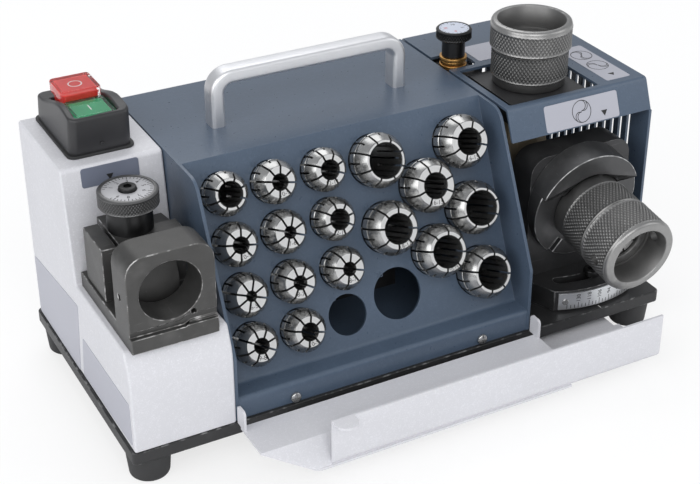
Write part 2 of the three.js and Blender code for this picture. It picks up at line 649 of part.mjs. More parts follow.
// Motor with its nose through the cheek, its saddle, and the shaft with the wheel
function makeDrive() {
  const noseEnd = bulkhead.left - clearance;
  const bell = motor.left + motor.bell;
  const body = alongX(turned([
    [0, motor.left], [motor.bellRadius, motor.left], [motor.radius, bell], [motor.radius, motor.right],
    [motor.nose, motor.right], [motor.nose, noseEnd], [shaft.radius + clearance, noseEnd],
    [shaft.radius + clearance, noseEnd - motor.boreDepth], [0, noseEnd - motor.boreDepth],
  ]));
  const group = new THREE.Group();
  group.position.set(0, motor.y, motor.height);
  machine.add(group);
  add('motor', body, 'motor', group);

  const saddle = cut(
    block(motor.saddleLeft, motor.saddleRight, motor.y - motor.saddleHalf, motor.y + motor.saddleHalf,
      0, motor.saddleTop),
    prism(circle(motor.y, motor.height, motor.radius + clearance), 'x',
      motor.saddleLeft - overrun, motor.saddleRight + overrun),
  );
  add('motor_bracket', saddle, 'blackPaint');

  const spindle = alongX(turned([
    [0, noseEnd - motor.boreDepth + clearance], [shaft.radius, noseEnd - motor.boreDepth + clearance],
    [shaft.radius, shaft.collarLeft], [shaft.collar, shaft.collarLeft], [shaft.collar, shaft.collarRight],
    [shaft.radius, shaft.collarRight], [shaft.radius, shaft.right], [0, shaft.right],
  ], sides.coarse));
  add('motor_shaft', spindle, 'ground', group);

  const bore = shaft.radius + clearance;
  const middle = (wheel.left + wheel.right) / 2;
  const grit = alongX(turned([
    [bore, wheel.left], [wheel.face, wheel.left], [wheel.radius, middle - wheel.land / 2],
    [wheel.radius, middle + wheel.land / 2], [wheel.face, wheel.right], [wheel.recess, wheel.right],
    [wheel.recess, wheel.right - wheel.recessDepth], [bore, wheel.right - wheel.recessDepth],
  ], sides.coarse));
  add('grinding_wheel', grit, 'grit', group);
  const nutFoot = wheel.right - wheel.recessDepth + clearance;
  const hexagon = prism(circle(0, 0, nut.radius, sides.hexagon), 'z', nutFoot, nutFoot + nut.height, {
    holes: [circle(0, 0, bore, sides.coarse)],
  });
  add('wheel_nut', alongX(hexagon), 'greySteel', group);
}

// Web port: sliding plate with the guide bore, and its feed knob with a lock ring
function makeWebPort() {
  const under = port.top - port.thickness;
  const shape = outline([
    [port.armLeft, port.back], [port.left, port.back], [port.left, port.front, port.corner],
    [port.right, port.front, port.corner], [port.right, port.back, port.corner],
    [port.armRight, port.back], [port.armRight, port.armBack, port.corner],
    [port.armLeft, port.armBack, port.corner],
  ]);
  const plate = prism(shape, 'z', under, port.top, {
    holes: [
      circle(topChuck.x, topChuck.y, grip.nose + grip.gap, sides.fine),
      circle(knob.x, knob.y, knob.shank + clearance, sides.coarse),
    ],
  });
  add('top_port_plate', plate, 'blackSteel');

  const ring = turned([
    [knob.shank + clearance, port.top], [knob.ringRadius, port.top],
    [knob.ringRadius, knob.stemFoot - clearance], [knob.shank + clearance, knob.stemFoot - clearance],
  ]);
  add('feed_lock_ring', ring, 'brass').position.set(knob.x, knob.y, 0);
  const turnedKnob = turned([
    [0, knob.shankFoot], [knob.shank, knob.shankFoot], [knob.shank, knob.stemFoot],
    [knob.stem, knob.stemFoot], [knob.stem, knob.skirt], [knob.radius - knob.chamfer, knob.skirt],
    [knob.radius, knob.skirt + knob.chamfer], [knob.radius, knob.top - knob.chamfer],
    [knob.radius - knob.chamfer, knob.top], [0, knob.top],
  ]);
  add('feed_knob', turnedKnob, 'blackSteel').position.set(knob.x, knob.y, 0);
}

// Point port: arc plate, scale, upright block and tilted cam disc
function makePointPort() {
  const { x, y } = swivel;
  const low = clearance;
  const high = clearance + swivel.thickness;
  const front = arc(x, y, swivel.radius, 270 - swivel.sweep, 270 + swivel.sweep, 4 * arcSteps);
  const shape = [
    ...front,
    point(x + swivel.half, swivel.shoulder), point(x + swivel.half, swivel.back),
    point(x - swivel.half, swivel.back), point(x - swivel.half, swivel.shoulder),
  ];
  const [slotStart, slotEnd] = [270 - swivel.slotSweep, 270 + swivel.slotSweep];
  const slotShape = [
    ...arc(x, y, swivel.slotRadius + swivel.slotHalf, slotStart, slotEnd, 2 * arcSteps),
    ...arc(x, y, swivel.slotRadius - swivel.slotHalf, slotEnd, slotStart, 2 * arcSteps),
  ];
  add('swivel_base', prism(shape, 'z', low, high, { holes: [slotShape] }), 'blackSteel');

  const inner = swivel.radius + clearance;
  const strip = [
    ...arc(x, y, inner + scale.thickness, 270 - scale.sweepLeft, 270 + scale.sweepRight, 4 * arcSteps),
    ...arc(x, y, inner, 270 + scale.sweepRight, 270 - scale.sweepLeft, 4 * arcSteps),
  ];
  add('angle_scale', prism(strip, 'z', low + scale.foot, low + scale.foot + scale.height), 'scale');

  const headFoot = high + clearance;
  const headTop = headFoot + clamp.headHeight;
  const bolt = turned([
    [0, 0], [clamp.shank, 0], [clamp.shank, headFoot], [clamp.head, headFoot], [clamp.head, headTop],
    [0, headTop],
  ], sides.coarse);
  const key = circle(0, 0, clamp.socket, sides.hexagon);
  const socket = prism(key, 'z', headTop - clamp.socketDepth, headTop + overrun);
  const at = polar(x, y, swivel.slotRadius, 270 + clamp.angle);
  add('swivel_clamp_screw', cut(bolt, socket), 'greySteel').position.set(at.x, at.y, 0);

  const axisGroup = new THREE.Group();
  axisGroup.position.set(axis.x, axis.y, axis.height);
  axisGroup.rotation.x = radians(90 + axis.tilt);
  axisGroup.updateMatrix();
  machine.add(axisGroup);
  const bore = grip.nose + grip.gap;
  const through = base.depth / 2;
  const borer = () => prism(circle(0, 0, bore, sides.fine), 'z', -through, through);
  const upright = outline([
    [bracket.left, high], [bracket.right, high], [bracket.right, bracket.top, bracket.corner],
    [bracket.left, bracket.top, bracket.corner],
  ]);
  add('swivel_bracket', cut(
    prism(upright, 'y', bracket.front, bracket.back),
    borer().applyMatrix4(axisGroup.matrix),
  ), 'blackSteel');

  const back = axisGroup.matrix.clone().invert();
  const behind = block(
    axis.x - 2 * cam.radius, axis.x + 2 * cam.radius, bracket.front - clearance,
    bracket.front + 2 * cam.radius, axis.height - 2 * cam.radius, axis.height + 2 * cam.radius,
  ).applyMatrix4(back);
  const rise = THREE.MathUtils.radToDeg(Math.asin(cam.chord / cam.radius));
  const moonSide = prism(
    arc(0, 0, cam.radius, rise, 180 - rise, sides.fine / 2), 'z', -cam.moon, cam.moon);
  const slotTool = block(
    cam.slotInner, cam.radius + overrun, -cam.slotWidth / 2, cam.slotWidth / 2, -cam.slotDepth, overrun,
  ).rotateZ(radians(cam.slotAngle));
  const disc = cut(
    join(prism(circle(0, 0, cam.radius, sides.fine), 'z', -2 * cam.radius, 0), moonSide),
    behind, borer(), slotTool, frontFootRoom());
  add('cam_disc', disc, 'blackSteel', axisGroup);
  return axisGroup;
}

// The front sleeve's foot turns inside the raised half moon
function frontFootRoom() {
  return prism(circle(0, 0, frontChuck.footRadius + grip.gap, sides.fine), 'z', 0, 2 * cam.moon);
}

// Collet chuck with its seat at height zero: sleeve with a nose, screwed nut, collet held between them
function makeChuck(prefix, size, parent) {
  const lipTop = size.total - size.mouthDepth;
  const face = lipTop - grip.lip;
  const widest = face - (large.radius - large.face) / tangent(colletNose);
  const cone = (height) => large.radius - (widest - height) * tangent(colletTaper) + grip.gap;
  const thread = size.split - size.thread;
  const nutFoot = size.split + grip.groove;
  const sleeve = turned([
    [cone(-grip.noseLength), -grip.noseLength], [grip.nose, -grip.noseLength], [grip.nose, clearance],
    [size.footRadius, clearance], [size.footRadius, size.footHeight], [size.sleeveRadius, size.footHeight],
    [size.sleeveRadius, size.split], [grip.spigot + grip.gap, size.split],
    [grip.spigot + grip.gap, thread - grip.gap], [cone(thread - grip.gap), thread - grip.gap],
  ], sides.fine);
  const ring = turned([
    [size.nutRadius, nutFoot], [size.nutRadius, size.total - grip.edge],
    [size.nutRadius - grip.edge, size.total], [size.mouthRadius, size.total], [size.mouthRadius, lipTop],
    [large.face + grip.gap, lipTop], [large.face + grip.gap, face],
    [large.radius + grip.gap, widest], [large.radius + grip.gap, thread], [grip.spigot, thread],
    [grip.spigot, nutFoot],
  ], sides.fine);
  add(`${prefix}_chuck_sleeve`, sleeve, 'greySteel', parent);
  const nutMesh = add(`${prefix}_chuck_nut`, ring, 'greySteel', parent);
  const collet = add(`${prefix}_collet`, makeCollet(large, size.bore), 'ground', parent);
  collet.position.z = face;
  return nutMesh;
}

function makeChucks(axisGroup) {
  const stand = new THREE.Group();
  stand.position.set(topChuck.x, topChuck.y, port.top);
  machine.add(stand);
  makeChuck('top', topChuck, stand);
  const nutMesh = makeChuck('front', frontChuck, axisGroup);
  const cross = prism(
    circle(0, 0, frontChuck.crossHole, sides.coarse), 'z', -frontChuck.nutRadius - overrun,
    frontChuck.nutRadius + overrun,
  ).rotateY(Math.PI / 2).rotateZ(radians(frontChuck.crossAngle))
    .translate(0, 0, frontChuck.total - frontChuck.crossInset);
  nutMesh.geometry = cut(nutMesh.geometry, cross);
}

// Chip tray: sheet with a raised shelf before the rack, a slope, a trough and a low front wall
function makeTray() {
  const t = tray.sheet;
  const shelf = sheetOutline([
    [tray.shelfBack, tray.shelfTop - t], [tray.shelfFront, tray.shelfTop - t],
    [tray.front + t, tray.floor], [tray.front, tray.floor],
  ].reverse(), t);
  const trough = sheetOutline([
    [tray.front, tray.wallTop], [tray.front, tray.floor], [tray.shelfBack, tray.floor],
  ], t, tray.bend);
  const tuck = sheetOutline([
    [tray.front + 2 * tray.bend, tray.floor], [tray.tuckBack, tray.floor],
    [tray.tuckBack, -base.thickness - clearance],
  ], t);
  const corner = prism([
    point(tray.left - overrun, tray.shelfFront), point(tray.left, tray.shelfFront),
    point(tray.slopeLeft, tray.front - t), point(tray.left - overrun, tray.front - t),
  ].reverse(), 'z', tray.floor - overrun, tray.wallTop + overrun);
  const ear = outline([
    [tray.earFront, tray.shelfTop - t], [tray.shelfBack, tray.shelfTop - t],
    [tray.shelfBack, 0], [tray.earBack, 0],
    [tray.earBack, tray.earTop, tray.earCorner], [tray.earFront, tray.earTop, tray.earCorner],
  ]);
  const tabMiddle = (tray.tabLeft + tray.tabRight) / 2;
  const tabRadius = (tray.tabRight - tray.tabLeft) / 2;
  const tab = prism([
    point(tray.tabRight, tray.front + t / 2), point(tray.tabLeft, tray.front + t / 2),
    ...arc(tabMiddle, tray.front - tray.tabReach / 3, tabRadius, 180, 360, 2 * arcSteps),
  ], 'z', tray.wallTop - t, tray.wallTop);
  const tuckRight = base.length - foot.inset - foot.topRadius - tray.tuckClear;
  const pan = join(
    cut(prism(shelf, 'x', tray.left, tray.shelfRight), corner),
    prism(trough, 'x', tray.wallLeft, tray.right),
    prism(tuck, 'x', tuckRight - tray.tuckWidth, tuckRight),
    prism(ear, 'x', tray.left, tray.left + t),
    prism(ear, 'x', tray.shelfRight - t, tray.shelfRight),
    tab,
  );
  add('chip_tray', pan, 'white');
}

makeBase();
makeHousing();
makeSwitch();
makeGauge();
makeRackCover();
makeHandle();
makeStoredCollets();
makeWheelCover();
makeBulkhead();
makeDrive();
makeWebPort();
makeChucks(makePointPort());
makeTray();

// Origin at the middle of the footprint, on the surface that the feet stand on
machine.updateMatrixWorld(true);
const bounds = new THREE.Box3().setFromObject(machine, true);
const middle = bounds.getCenter(new THREE.Vector3());
machine.position.set(-middle.x, -middle.y, -bounds.min.z);
const grinder = new THREE.Group();
grinder.add(machine);
grinder.updateMatrixWorld(true);

export default grinder;
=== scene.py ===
"""Looks of a bench drill bit grinder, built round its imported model.

Sizes are in millimetres from the front left corner of the base plate, with the plate's top at
height zero, and become metres in the model's own frame when a piece is made.
"""
from types import SimpleNamespace as Sizes

import bmesh
import bpy
import numpy as np
from bpy.props import FloatProperty, FloatVectorProperty, IntProperty, PointerProperty
from mathutils import Matrix, Vector
from mathutils.geometry import tessellate_polygon


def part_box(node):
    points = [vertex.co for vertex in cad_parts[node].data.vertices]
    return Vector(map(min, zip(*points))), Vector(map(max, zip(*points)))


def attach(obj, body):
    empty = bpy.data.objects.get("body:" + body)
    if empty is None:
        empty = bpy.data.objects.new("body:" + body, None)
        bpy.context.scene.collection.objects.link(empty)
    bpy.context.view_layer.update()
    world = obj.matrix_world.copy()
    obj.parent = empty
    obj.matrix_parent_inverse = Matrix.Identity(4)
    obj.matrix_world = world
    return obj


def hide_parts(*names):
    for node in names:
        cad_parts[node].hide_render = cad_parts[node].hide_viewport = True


bl_info = {
    "name": "Drill bit grinder",
    "version": (1, 0, 0),
    "blender": (4, 5, 0),
    "location": "3D View > Sidebar > Grinder",
    "description": "Builds the looks of a bench drill bit grinder round its packed model",
    "category": "Object",
}

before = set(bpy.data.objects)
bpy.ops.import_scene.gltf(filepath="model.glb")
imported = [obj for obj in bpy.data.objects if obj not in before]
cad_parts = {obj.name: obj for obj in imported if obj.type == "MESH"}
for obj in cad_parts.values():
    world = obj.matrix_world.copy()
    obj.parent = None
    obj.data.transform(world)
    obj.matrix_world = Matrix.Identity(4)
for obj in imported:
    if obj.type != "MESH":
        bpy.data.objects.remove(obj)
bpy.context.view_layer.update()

# Where the base plate's front left corner and top face lie in the model, in metres
MILLIMETRE = 0.001
plate_low, plate_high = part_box("base_plate")
DATUM = np.array([plate_low.x, plate_low.y, plate_high.z])
WELD = 0.00001
FLAT = np.radians(0.2)
ROUND_STEPS = 6
FINE, MEDIUM, COARSE, HEXAGON = 96, 64, 32, 6
CLEAR = 0.3
BEYOND = 4.0

base = Sizes(
    length=360, depth=168, thickness=8.2, corner=3, edge=0.8, index=314.4, index_width=0.4,
    index_length=3)
foot = Sizes(height=16.5, top=13, sole=11.5, edge=2.2, inset=13.5)
casing = Sizes(height=132.5, sheet=2, bend=3)
housing = Sizes(
    left=1.5, right=62.2, back=166, edge=3, ledge=63.3, column_foot=82, column_top=90.1,
    plinth=41.8, shoulder=50.4, shoulder_set=1.3, lip_set=6.5, round=1.4)
column_plate = Sizes(
    left=13.2, right=47.3, foot=56.8, top=68.3, pointer=29.9, pointer_up=60.6, pointer_width=4.2,
    pointer_height=3.6)
side_plates = {
    "side_plate_rear": [(163.7, 40.8), (81.4, 50.2), (89, 0.8), (163.7, 0.8)],
    "side_plate_front": [(78.1, 30.1), (3.8, 30.8), (3.2, 3.5), (83.1, 1.4)]}
toggle = Sizes(
    left=12, right=49, front=98, foot_front=101, back=162, gasket=1.8, gasket_margin=1.5,
    rim_front=156.3, rim_crest=159, crest_at=115.3, rim_rear=149.4, rear_at=154.7, corner=5,
    well_floor=140, well_corner=1.2, draft=0.9, lean_reach=20, rim=1.6, seal_edge=0.5, dimple=0.9,
    dimple_height=139.5, dimple_x=30.5, dimple_back=1.2, dimple_rise=0.25, dimple_edge=0.2,
    dimple_root=1, steps=10, cuts=8)
button = Sizes(
    left=17.5, right=41.5, green_front=102, green_back=125.2, red_back=149, green_top=156.8,
    red_top=161.8, height=13, corner=2.4, gap=0.4, wall=1.9, roof=2.66, skirt=7.15, cap_edge=1,
    core_edge=0.6, ring=4.2, stroke=0.75, bar=6.5)
gauge = Sizes(
    left=5, right=55.3, front=0.9, face_set=2, plate_back=24, foot_top=9, step_up=2, step_at=36,
    step_run=4, groove=3.5, groove_depth=3, top=56.8, corner=11, bore_x=29.8, bore_height=32, bore=17.7,
    slot_floor=9.6, block_left=17, block_front=45, block_top=42.1, pin_x=41.9, pin_height=15.8,
    pin=1.5, ramp_front=58, ramp_fall=8, ramp_left=40, back=80.3, side_hole=2, side_hole_y=15.3,
    side_hole_height=28.7, dish=4, dish_depth=0.8, skim=0.01)
side_block = Sizes(left=6.3, right=15.3, front=42.9, back=72.5, top=42.1)
slide = Sizes(left=18, right=44, front=27.5, back=40.5, top=45, chamfer=10, stem=4, root=1, reach=20)
dial = Sizes(
    x=30, y=61, hub=12.9, hub_top=56, radius=17, height=9.5, rim=0.9, recess=1.2, face=14.5,
    screw=5, screw_height=2.4, socket=2.6, socket_depth=1.4, shank=2.5, root=2, screw_edge=0.7,
    screw_gap=0.4, face_lift=0.7, face_edge=0.2, hub_edge=0.6, divisions=40, bare=3, each=4,
    tick=0.4, tick_in=0.5, tick_short=1.8, tick_long=2.7, figure=2.5, figure_in=5.2)
rack = Sizes(
    left=62.5, right=260.5, top_bend=67.6, fold_y=16, fold_height=13.8, apron_y=2, cheek_front=1.5,
    cheek_knee=42.1, cheek_top=44.6, cheek_round=12, knee_round=2, floor_inset=6, figure=3.4,
    figure_rise=0.25)
screw = Sizes(
    left_x=100, right_x=226, height=3.9, radius=3.2, head=1.8, shank=1.7, grip=4, edge=1.1, slot=1,
    slot_depth=0.8)
handle = Sizes(
    left=97.5, right=226.5, front=99.5, back=112, top=166.8, bar=8.7, corner=14, edge=2.6, steps=16)
small = Sizes(
    radius=13, length=34, face=9.3, hole=12.35, figure_left=8, figure_up=11.5,
    columns=(83.8, 114.2, 145.9), rows=(21.2, 50.3, 79.7, 108.7))
large = Sizes(radius=16.5, length=40, face=12.35, hole=15.65, figure_left=9.4, figure_up=13.7)
large_spots = {
    "D1": (180.3, 23.4), "D2": (180.3, 64), "D3": (180.3, 104.6), "E1": (209.4, 44.9),
    "E2": (209.4, 85), "F1": (237, 24.2), "F2": (237, 64.8), "F3": (237, 104.9)}
small_spots = {
    f"{column}{row}": (x, down)
    for column, x in zip("ABC", small.columns) for row, down in enumerate(small.rows, 1)}
stores = (("small", small, small_spots), ("large", large, large_spots))
bores = {
    "A1": 14.5, "A2": 9.5, "A3": 6, "A4": 9, "B1": 9.5, "B2": 7, "B3": 8, "B4": 10.5, "C1": 11.5,
    "C2": 12, "C3": 8, "D1": 21, "D2": 18, "E1": 15.5, "E2": 19.5, "F1": 16, "F2": 21, "F3": 20.5}
empty = {"C4": 20, "D3": 25}
HOLE_SIDES = 14
fingers = Sizes(
    edge=0.35, crest=0.15, shoulder=0.5, skin=0.1, lead=3, face=0.02, figure=0.03, figure_room=2.4,
    lip_share=0.1, inner_share=0.6, face_in_share=0.9, face_out_share=1.2, ring_share=0.46,
    slit_share=0.6, middle_share=0.5, figure_share=0.8, flank_share=0.38,
    ring_shares=(1, 1.04, 1.06, 1.25, 1.28, 1.34, 1.42), steps=9)
scatter = Sizes(stride=7, start=3, count=11, turn=2.4)
hood = Sizes(
    left=262.5, right=365.5, lip_top=41, lip_foot=33.4, lip_foot_height=113.3, wall_front=32.3,
    flange=6, port_left=267, port_right=332, port_front=45.3, port_back=103.5, notch_right=283.5,
    notch_front=108, notch_back=130, notch_corner=4, slot_width=3.2, slot_pitch=8.1, slot_foot=48,
    slot_top=108, slot_start=52, slot_count=13, back_start=279, back_count=10, port_corner=1.5)
lip_plate = Sizes(
    left=287.5, right=341.5, foot=0.8, top=17.2, sign=314.1, sign_up=9.2, pointer=330.5, pointer_up=5)
top_plate = Sizes(
    left=340, right=358, foot=47, top=101, sign=349, near_sign=69.5, near_turn=95, far_sign=87,
    far_turn=40, pointer=54)
rear_plate = Sizes(left=286.5, right=314.5, foot=110, top=134)
port = Sizes(
    left=273, right=327, front=45.8, back=102, top=128.8, thickness=14, arm_left=263.5,
    arm_right=283, arm_back=130, corner=3)
knob = Sizes(
    x=272.5, y=119.5, radius=11.4, top=154.8, skirt=148.2, stem=7.4, stem_foot=136.8, shank=4,
    shank_foot=96, ring=8.8, ring_groove=0.6, ring_edge=0.5, edge=0.8, face=9.6, recess=0.5,
    face_gap=0.1, face_drop=0.15, ticks=20, each=5, tick=0.26, tick_in=0.5, tick_short=0.9, tick_long=1.7,
    figures=4, figure_turn=70, figure=2.3, figure_in=4.3)
motor = Sizes(
    y=114, height=68.8, radius=38, left=88, right=235, nose=26, bell=12, bell_radius=33, end=262.7,
    bore_depth=28, bell_edge=3, body_edge=2, nose_edge=1)
shaft = Sizes(radius=7, end=340, collar_left=280, collar_right=285.7, collar=13, collar_edge=0.8, edge=1)
wheel = Sizes(left=286, right=324, radius=39, land=15, face=32, recess=22, recess_depth=9, edge=0.6)
nut = Sizes(radius=11.5, height=9, edge=0.5)
swivel = Sizes(
    x=315, y=75, thickness=14.3, radius=70.5, half=36, back=90, shoulder=26, slot=57, slot_half=3.6,
    slot_sweep=24, slot_steps=24, sweep=25, steps=36)
scale = Sizes(
    thickness=0.9, height=11.5, foot=1.4, sweep_left=23, sweep_right=22, index=-0.4,
    degree=2.0, gap=0.02, edge=0.12, mark=0.06, stroke=0.38, tick_long=4, tick_short=2.4,
    tick_up=0.6, figure=2.8, figure_up=7.6, first=-9, last=11, screw=2.1, screw_sweep=-19.4,
    screw_root=0.5, screw_rise=0.8, screw_edge=0.6, slot=0.6, slot_foot=0.4, steps=40)
scale_figures = {"130": -12.4, "118": -6.4, "106": -0.4, "94": 5.6, "82": 11.6}
clamp = Sizes(head=5.2, head_height=4, head_edge=0.6, shank=3, socket=2.4, socket_depth=2, angle=3)
bracket = Sizes(left=278, right=352, front=34, back=54, top=97.8, corner=12, steps=10)
axis = Sizes(x=314, y=25, height=62.8, tilt=8.5)
cam = Sizes(
    radius=37.5, moon=3, chord=14, slot_width=5, slot_depth=3.5, slot_angle=235, slot_inner=27,
    skim=0.02)
# The grip's share of 0.55 near its end sets how dark the painted shade inside a chuck nut's mouth is.
grip = Sizes(
    spigot=20, lip=2.2, nose=18.9, nose_length=17, gap=0.4, groove=0.3, nose_edge=0.6, foot_edge=0.7,
    foot_step=0.2, edge=0.8, band_gap=0.5, waist=0.4, rim_low=1.8, rim_mid=0.7, rim_mid_set=0.9,
    rim_set=1.9, bevel=0.5, mouth_low=1.4, mouth_step=1.2, mouth_set=1.2, floor_set=1.4,
    grime_share=0.55)
top_chuck = Sizes(
    x=302.6, y=78.3, total=41.3, split=24, nut=25.4, sleeve=24, foot=22.6, foot_height=6,
    mouth=21, mouth_depth=14.8, thread=10, bore=8, rim=3)
front_chuck = Sizes(
    total=57.6, split=31.7, nut=25, sleeve=24.6, foot=23.5, foot_height=10.6, mouth=18.6,
    mouth_depth=18, thread=8, bore=8, rim=2.6, cross=3.5, cross_inset=11.9, cross_angle=7)
tray = Sizes(
    sheet=1.5, left=62.5, shelf_right=261, shelf_back=-4.5, shelf_front=-31, shelf_top=-0.2,
    right=326, front=-45, floor=-14.2, wall_top=16.8, wall_left=99.5, slope_left=96.6, bend=5,
    tuck_left=240, tuck_right=322, tuck_back=70, ear_back=-0.3, ear_front=-9.6, ear_top=12.4,
    ear_corner=2.5, tab_left=100, tab_right=113.5, tab_reach=8.3,
    tab_steps=16, edge_share=0.8)
plate = Sizes(
    thickness=0.25, corner=1.6, mark=0.06, edge=0.08, sign=7, stroke=0.42, pointer_width=4.6,
    pointer_height=3.6, lip_at_share=0.5, lip_share=0.47, flute_x_share=0.25, flute_y_share=0.45,
    flute_share=0.42, flute_start=-120, flute_end=40)
KNURL_LEAD_SHARE, KNURL_CREST_SHARE = 1.35, 0.15
LETTER_SIZE_SHARE = 1.38
slope = np.arctan2(casing.height - rack.fold_height, rack.top_bend - rack.fold_y)
COLLET_TAPER, COLLET_NOSE = np.radians(8), np.radians(30)


class FinishColours(bpy.types.PropertyGroup):
    """Colours of the paints and plastics"""

    cover: FloatVectorProperty(
        name="Cover", description="Powder coat of the rack and wheel covers", subtype="COLOR",
        size=3, min=0, max=1, default=(0.066, 0.094, 0.138))
    housing: FloatVectorProperty(
        name="Housing", description="Powder coat of the switch housing and the tray", subtype="COLOR",
        size=3, min=0, max=1, default=(0.585, 0.585, 0.615))
    stop: FloatVectorProperty(
        name="Stop", description="Stop button", subtype="COLOR", size=3, min=0, max=1,
        default=(0.62, 0.03, 0.025))
    start: FloatVectorProperty(
        name="Start", description="Start button", subtype="COLOR", size=3, min=0, max=1,
        default=(0.015, 0.33, 0.14))


class KnurlSizes(bpy.types.PropertyGroup):
    """Diamond knurling of the chucks, the knob and the dial"""

    pitch: FloatProperty(
        name="Pitch", description="Width of one diamond on a chuck, in millimetres", default=2.5,
        min=0.5, max=5)
    fine_pitch: FloatProperty(
        name="Fine pitch", description="Width of one diamond on the knob and dial, in millimetres",
        default=1.8, min=0.3, max=5)
    depth_share: FloatProperty(
        name="Depth share", description="Depth of a groove as a share of the pitch",
        subtype="FACTOR", default=0.32, min=0, max=0.6)
    samples: IntProperty(
        name="Samples", description="Points of the surface along one diamond", default=6, min=3, max=12)


class ColletSizes(bpy.types.PropertyGroup):
    """Slits and grooves of the spring collets"""

    slits: IntProperty(
        name="Slits", description="Slits cut from each end", default=8, min=3, max=16)
    width: FloatProperty(
        name="Slit width", description="Width of a slit in millimetres", default=1.2, min=0.2, max=3)
    tail: FloatProperty(
        name="Tail", description="Solid length behind the front slits, in millimetres", default=9,
        min=1, max=20)
    numbers: FloatProperty(
        name="Number height", description="Height of the engraved size, in millimetres", default=2.7,
        min=0.5, max=6)


class EdgeSizes(bpy.types.PropertyGroup):
    """Rounding of edges, in millimetres"""

    sheet: FloatProperty(
        name="Sheet", description="Rounding of a sheet's edges", default=0.45, min=0, max=1)
    steel: FloatProperty(
        name="Steel", description="Broken edges of machined steel", default=0.5, min=0, max=2)
    paint: FloatProperty(
        name="Casing", description="Rounding of the housing's edges", default=1.4, min=0, max=3)


class StageSettings(bpy.types.PropertyGroup):
    """Floor, lamps and camera"""

    floor: FloatVectorProperty(
        name="Floor", description="Colour of the floor", subtype="COLOR", size=3, min=0, max=1,
        default=(0.95, 0.95, 0.95))
    azimuth: FloatProperty(
        name="Azimuth", description="Turn of the camera from straight ahead", subtype="ANGLE",
        default=float(np.radians(-28.141)))
    elevation: FloatProperty(
        name="Elevation", description="Height of the camera above level", subtype="ANGLE",
        default=float(np.radians(29.621)))
    key: FloatProperty(
        name="Key", description="Power of the large lamp", subtype="POWER", unit="POWER", default=19,
        min=0)


GROUPS = {
    "grinder_colours": FinishColours, "grinder_knurl": KnurlSizes, "grinder_collets": ColletSizes,
    "grinder_edges": EdgeSizes, "grinder_stage": StageSettings}


# Lamps: place, width and share of the key lamp's power, in metres from the part's middle
LAMPS = {
    "lamp_key": ((-0.6, -1.7, 1.35), 1.5, 1.0), "lamp_left": ((-1.8, -0.6, 1.0), 1.3, 0.75),
    "lamp_right": ((1.6, -1.0, 1.1), 1.4, 0.4), "lamp_back": ((0.3, 1.4, 1.9), 1.6, 0.8)}
view = Sizes(
    spot=(-0.38605, -0.69154, 0.5426), lens=77.75, sensor=36, shift_x=-0.00406, shift_y=-0.02517,
    near=0.05, far=20)
studio = Sizes(floor_reach=6.0, floor_glow_share=0.72, sky=(0.95, 0.97, 1), sky_strength=0.55)


# Outlines and solids, in millimetres. A solid is (points, faces)

def arc(a, b, radius, start, end, steps=ROUND_STEPS):
    """Points at even angles, in degrees, on a circle about (a, b)."""
    angles = np.radians(np.linspace(start, end, steps + 1))
    return np.stack([a + radius * np.cos(angles), b + radius * np.sin(angles)], 1)


def circle(a, b, radius, count=MEDIUM):
    """Points at even angles once round (a, b)."""
    return arc(a, b, radius, 0, 360, count)[:-1]


def rounded(corners, steps=ROUND_STEPS):
    """Closed outline through corners (a, b, radius), each radius replaced by a tangent arc.

    The arc's centre lies on the bisector, at radius / sin(half the corner's angle).
    """
    spots = np.array([corner[:2] for corner in corners], float)
    parts = []
    for i, corner in enumerate(corners):
        radius = corner[2] if len(corner) > 2 else 0
        here = spots[i]
        if radius == 0:
            parts.append(here[None])
            continue
        back, ahead = spots[i - 1] - here, spots[(i + 1) % len(spots)] - here
        room = min(np.linalg.norm(back), np.linalg.norm(ahead)) / 2
        back, ahead = back / np.linalg.norm(back), ahead / np.linalg.norm(ahead)
        half = np.arccos(np.clip(back @ ahead, -1, 1)) / 2
        reach = min(radius / np.tan(half), room)
        bend = reach * np.tan(half)
        inward = (back + ahead) / np.linalg.norm(back + ahead)
        centre = here + inward * bend / np.sin(half)
        start, end = here + back * reach - centre, here + ahead * reach - centre
        first = np.arctan2(start[1], start[0])
        turn = np.arctan2(start[0] * end[1] - start[1] * end[0], start @ end)
        parts.append(arc(*centre, bend, *np.degrees([first, first + turn]), steps))
    return np.concatenate(parts)


def box_outline(a0, b0, a1, b1, radius=0.0, steps=ROUND_STEPS):
    """Rounded rectangle."""
    return rounded([(a0, b0, radius), (a1, b0, radius), (a1, b1, radius), (a0, b1, radius)], steps)


def sideways(line, distance):
    """Line moved to its left by a distance, with mitred corners."""
    line = np.asarray(line, float)
    ahead = np.roll(line, -1, 0) - line
    left = np.stack([-ahead[:, 1], ahead[:, 0]], 1)
    left /= np.maximum(np.linalg.norm(left, axis=1, keepdims=True), WELD)
    before = np.roll(left, 1, 0)
    before[0], left[-1] = left[0], before[-1]
    middle = before + left
    middle /= np.linalg.norm(middle, axis=1, keepdims=True)
    return line + middle * (distance / (middle * left).sum(1, keepdims=True))


def sheet_outline(line, thickness, bend=0.0):
    """Outline of bent sheet to the left of a line: out along the line and back beside it."""
    def softened(points):
        ends = (0, len(points) - 1)
        return [(a, b, 0 if i in ends else bend) for i, (a, b) in enumerate(points)]
    return rounded(softened(line) + softened(sideways(line, thickness)[::-1]))


TURNS = {
    "x": np.array([[0, 1, 0], [0, 0, 1], [1, 0, 0]], float),
    "y": np.array([[1, 0, 0], [0, 0, 1], [0, -1, 0]], float),
    "z": np.eye(3)}


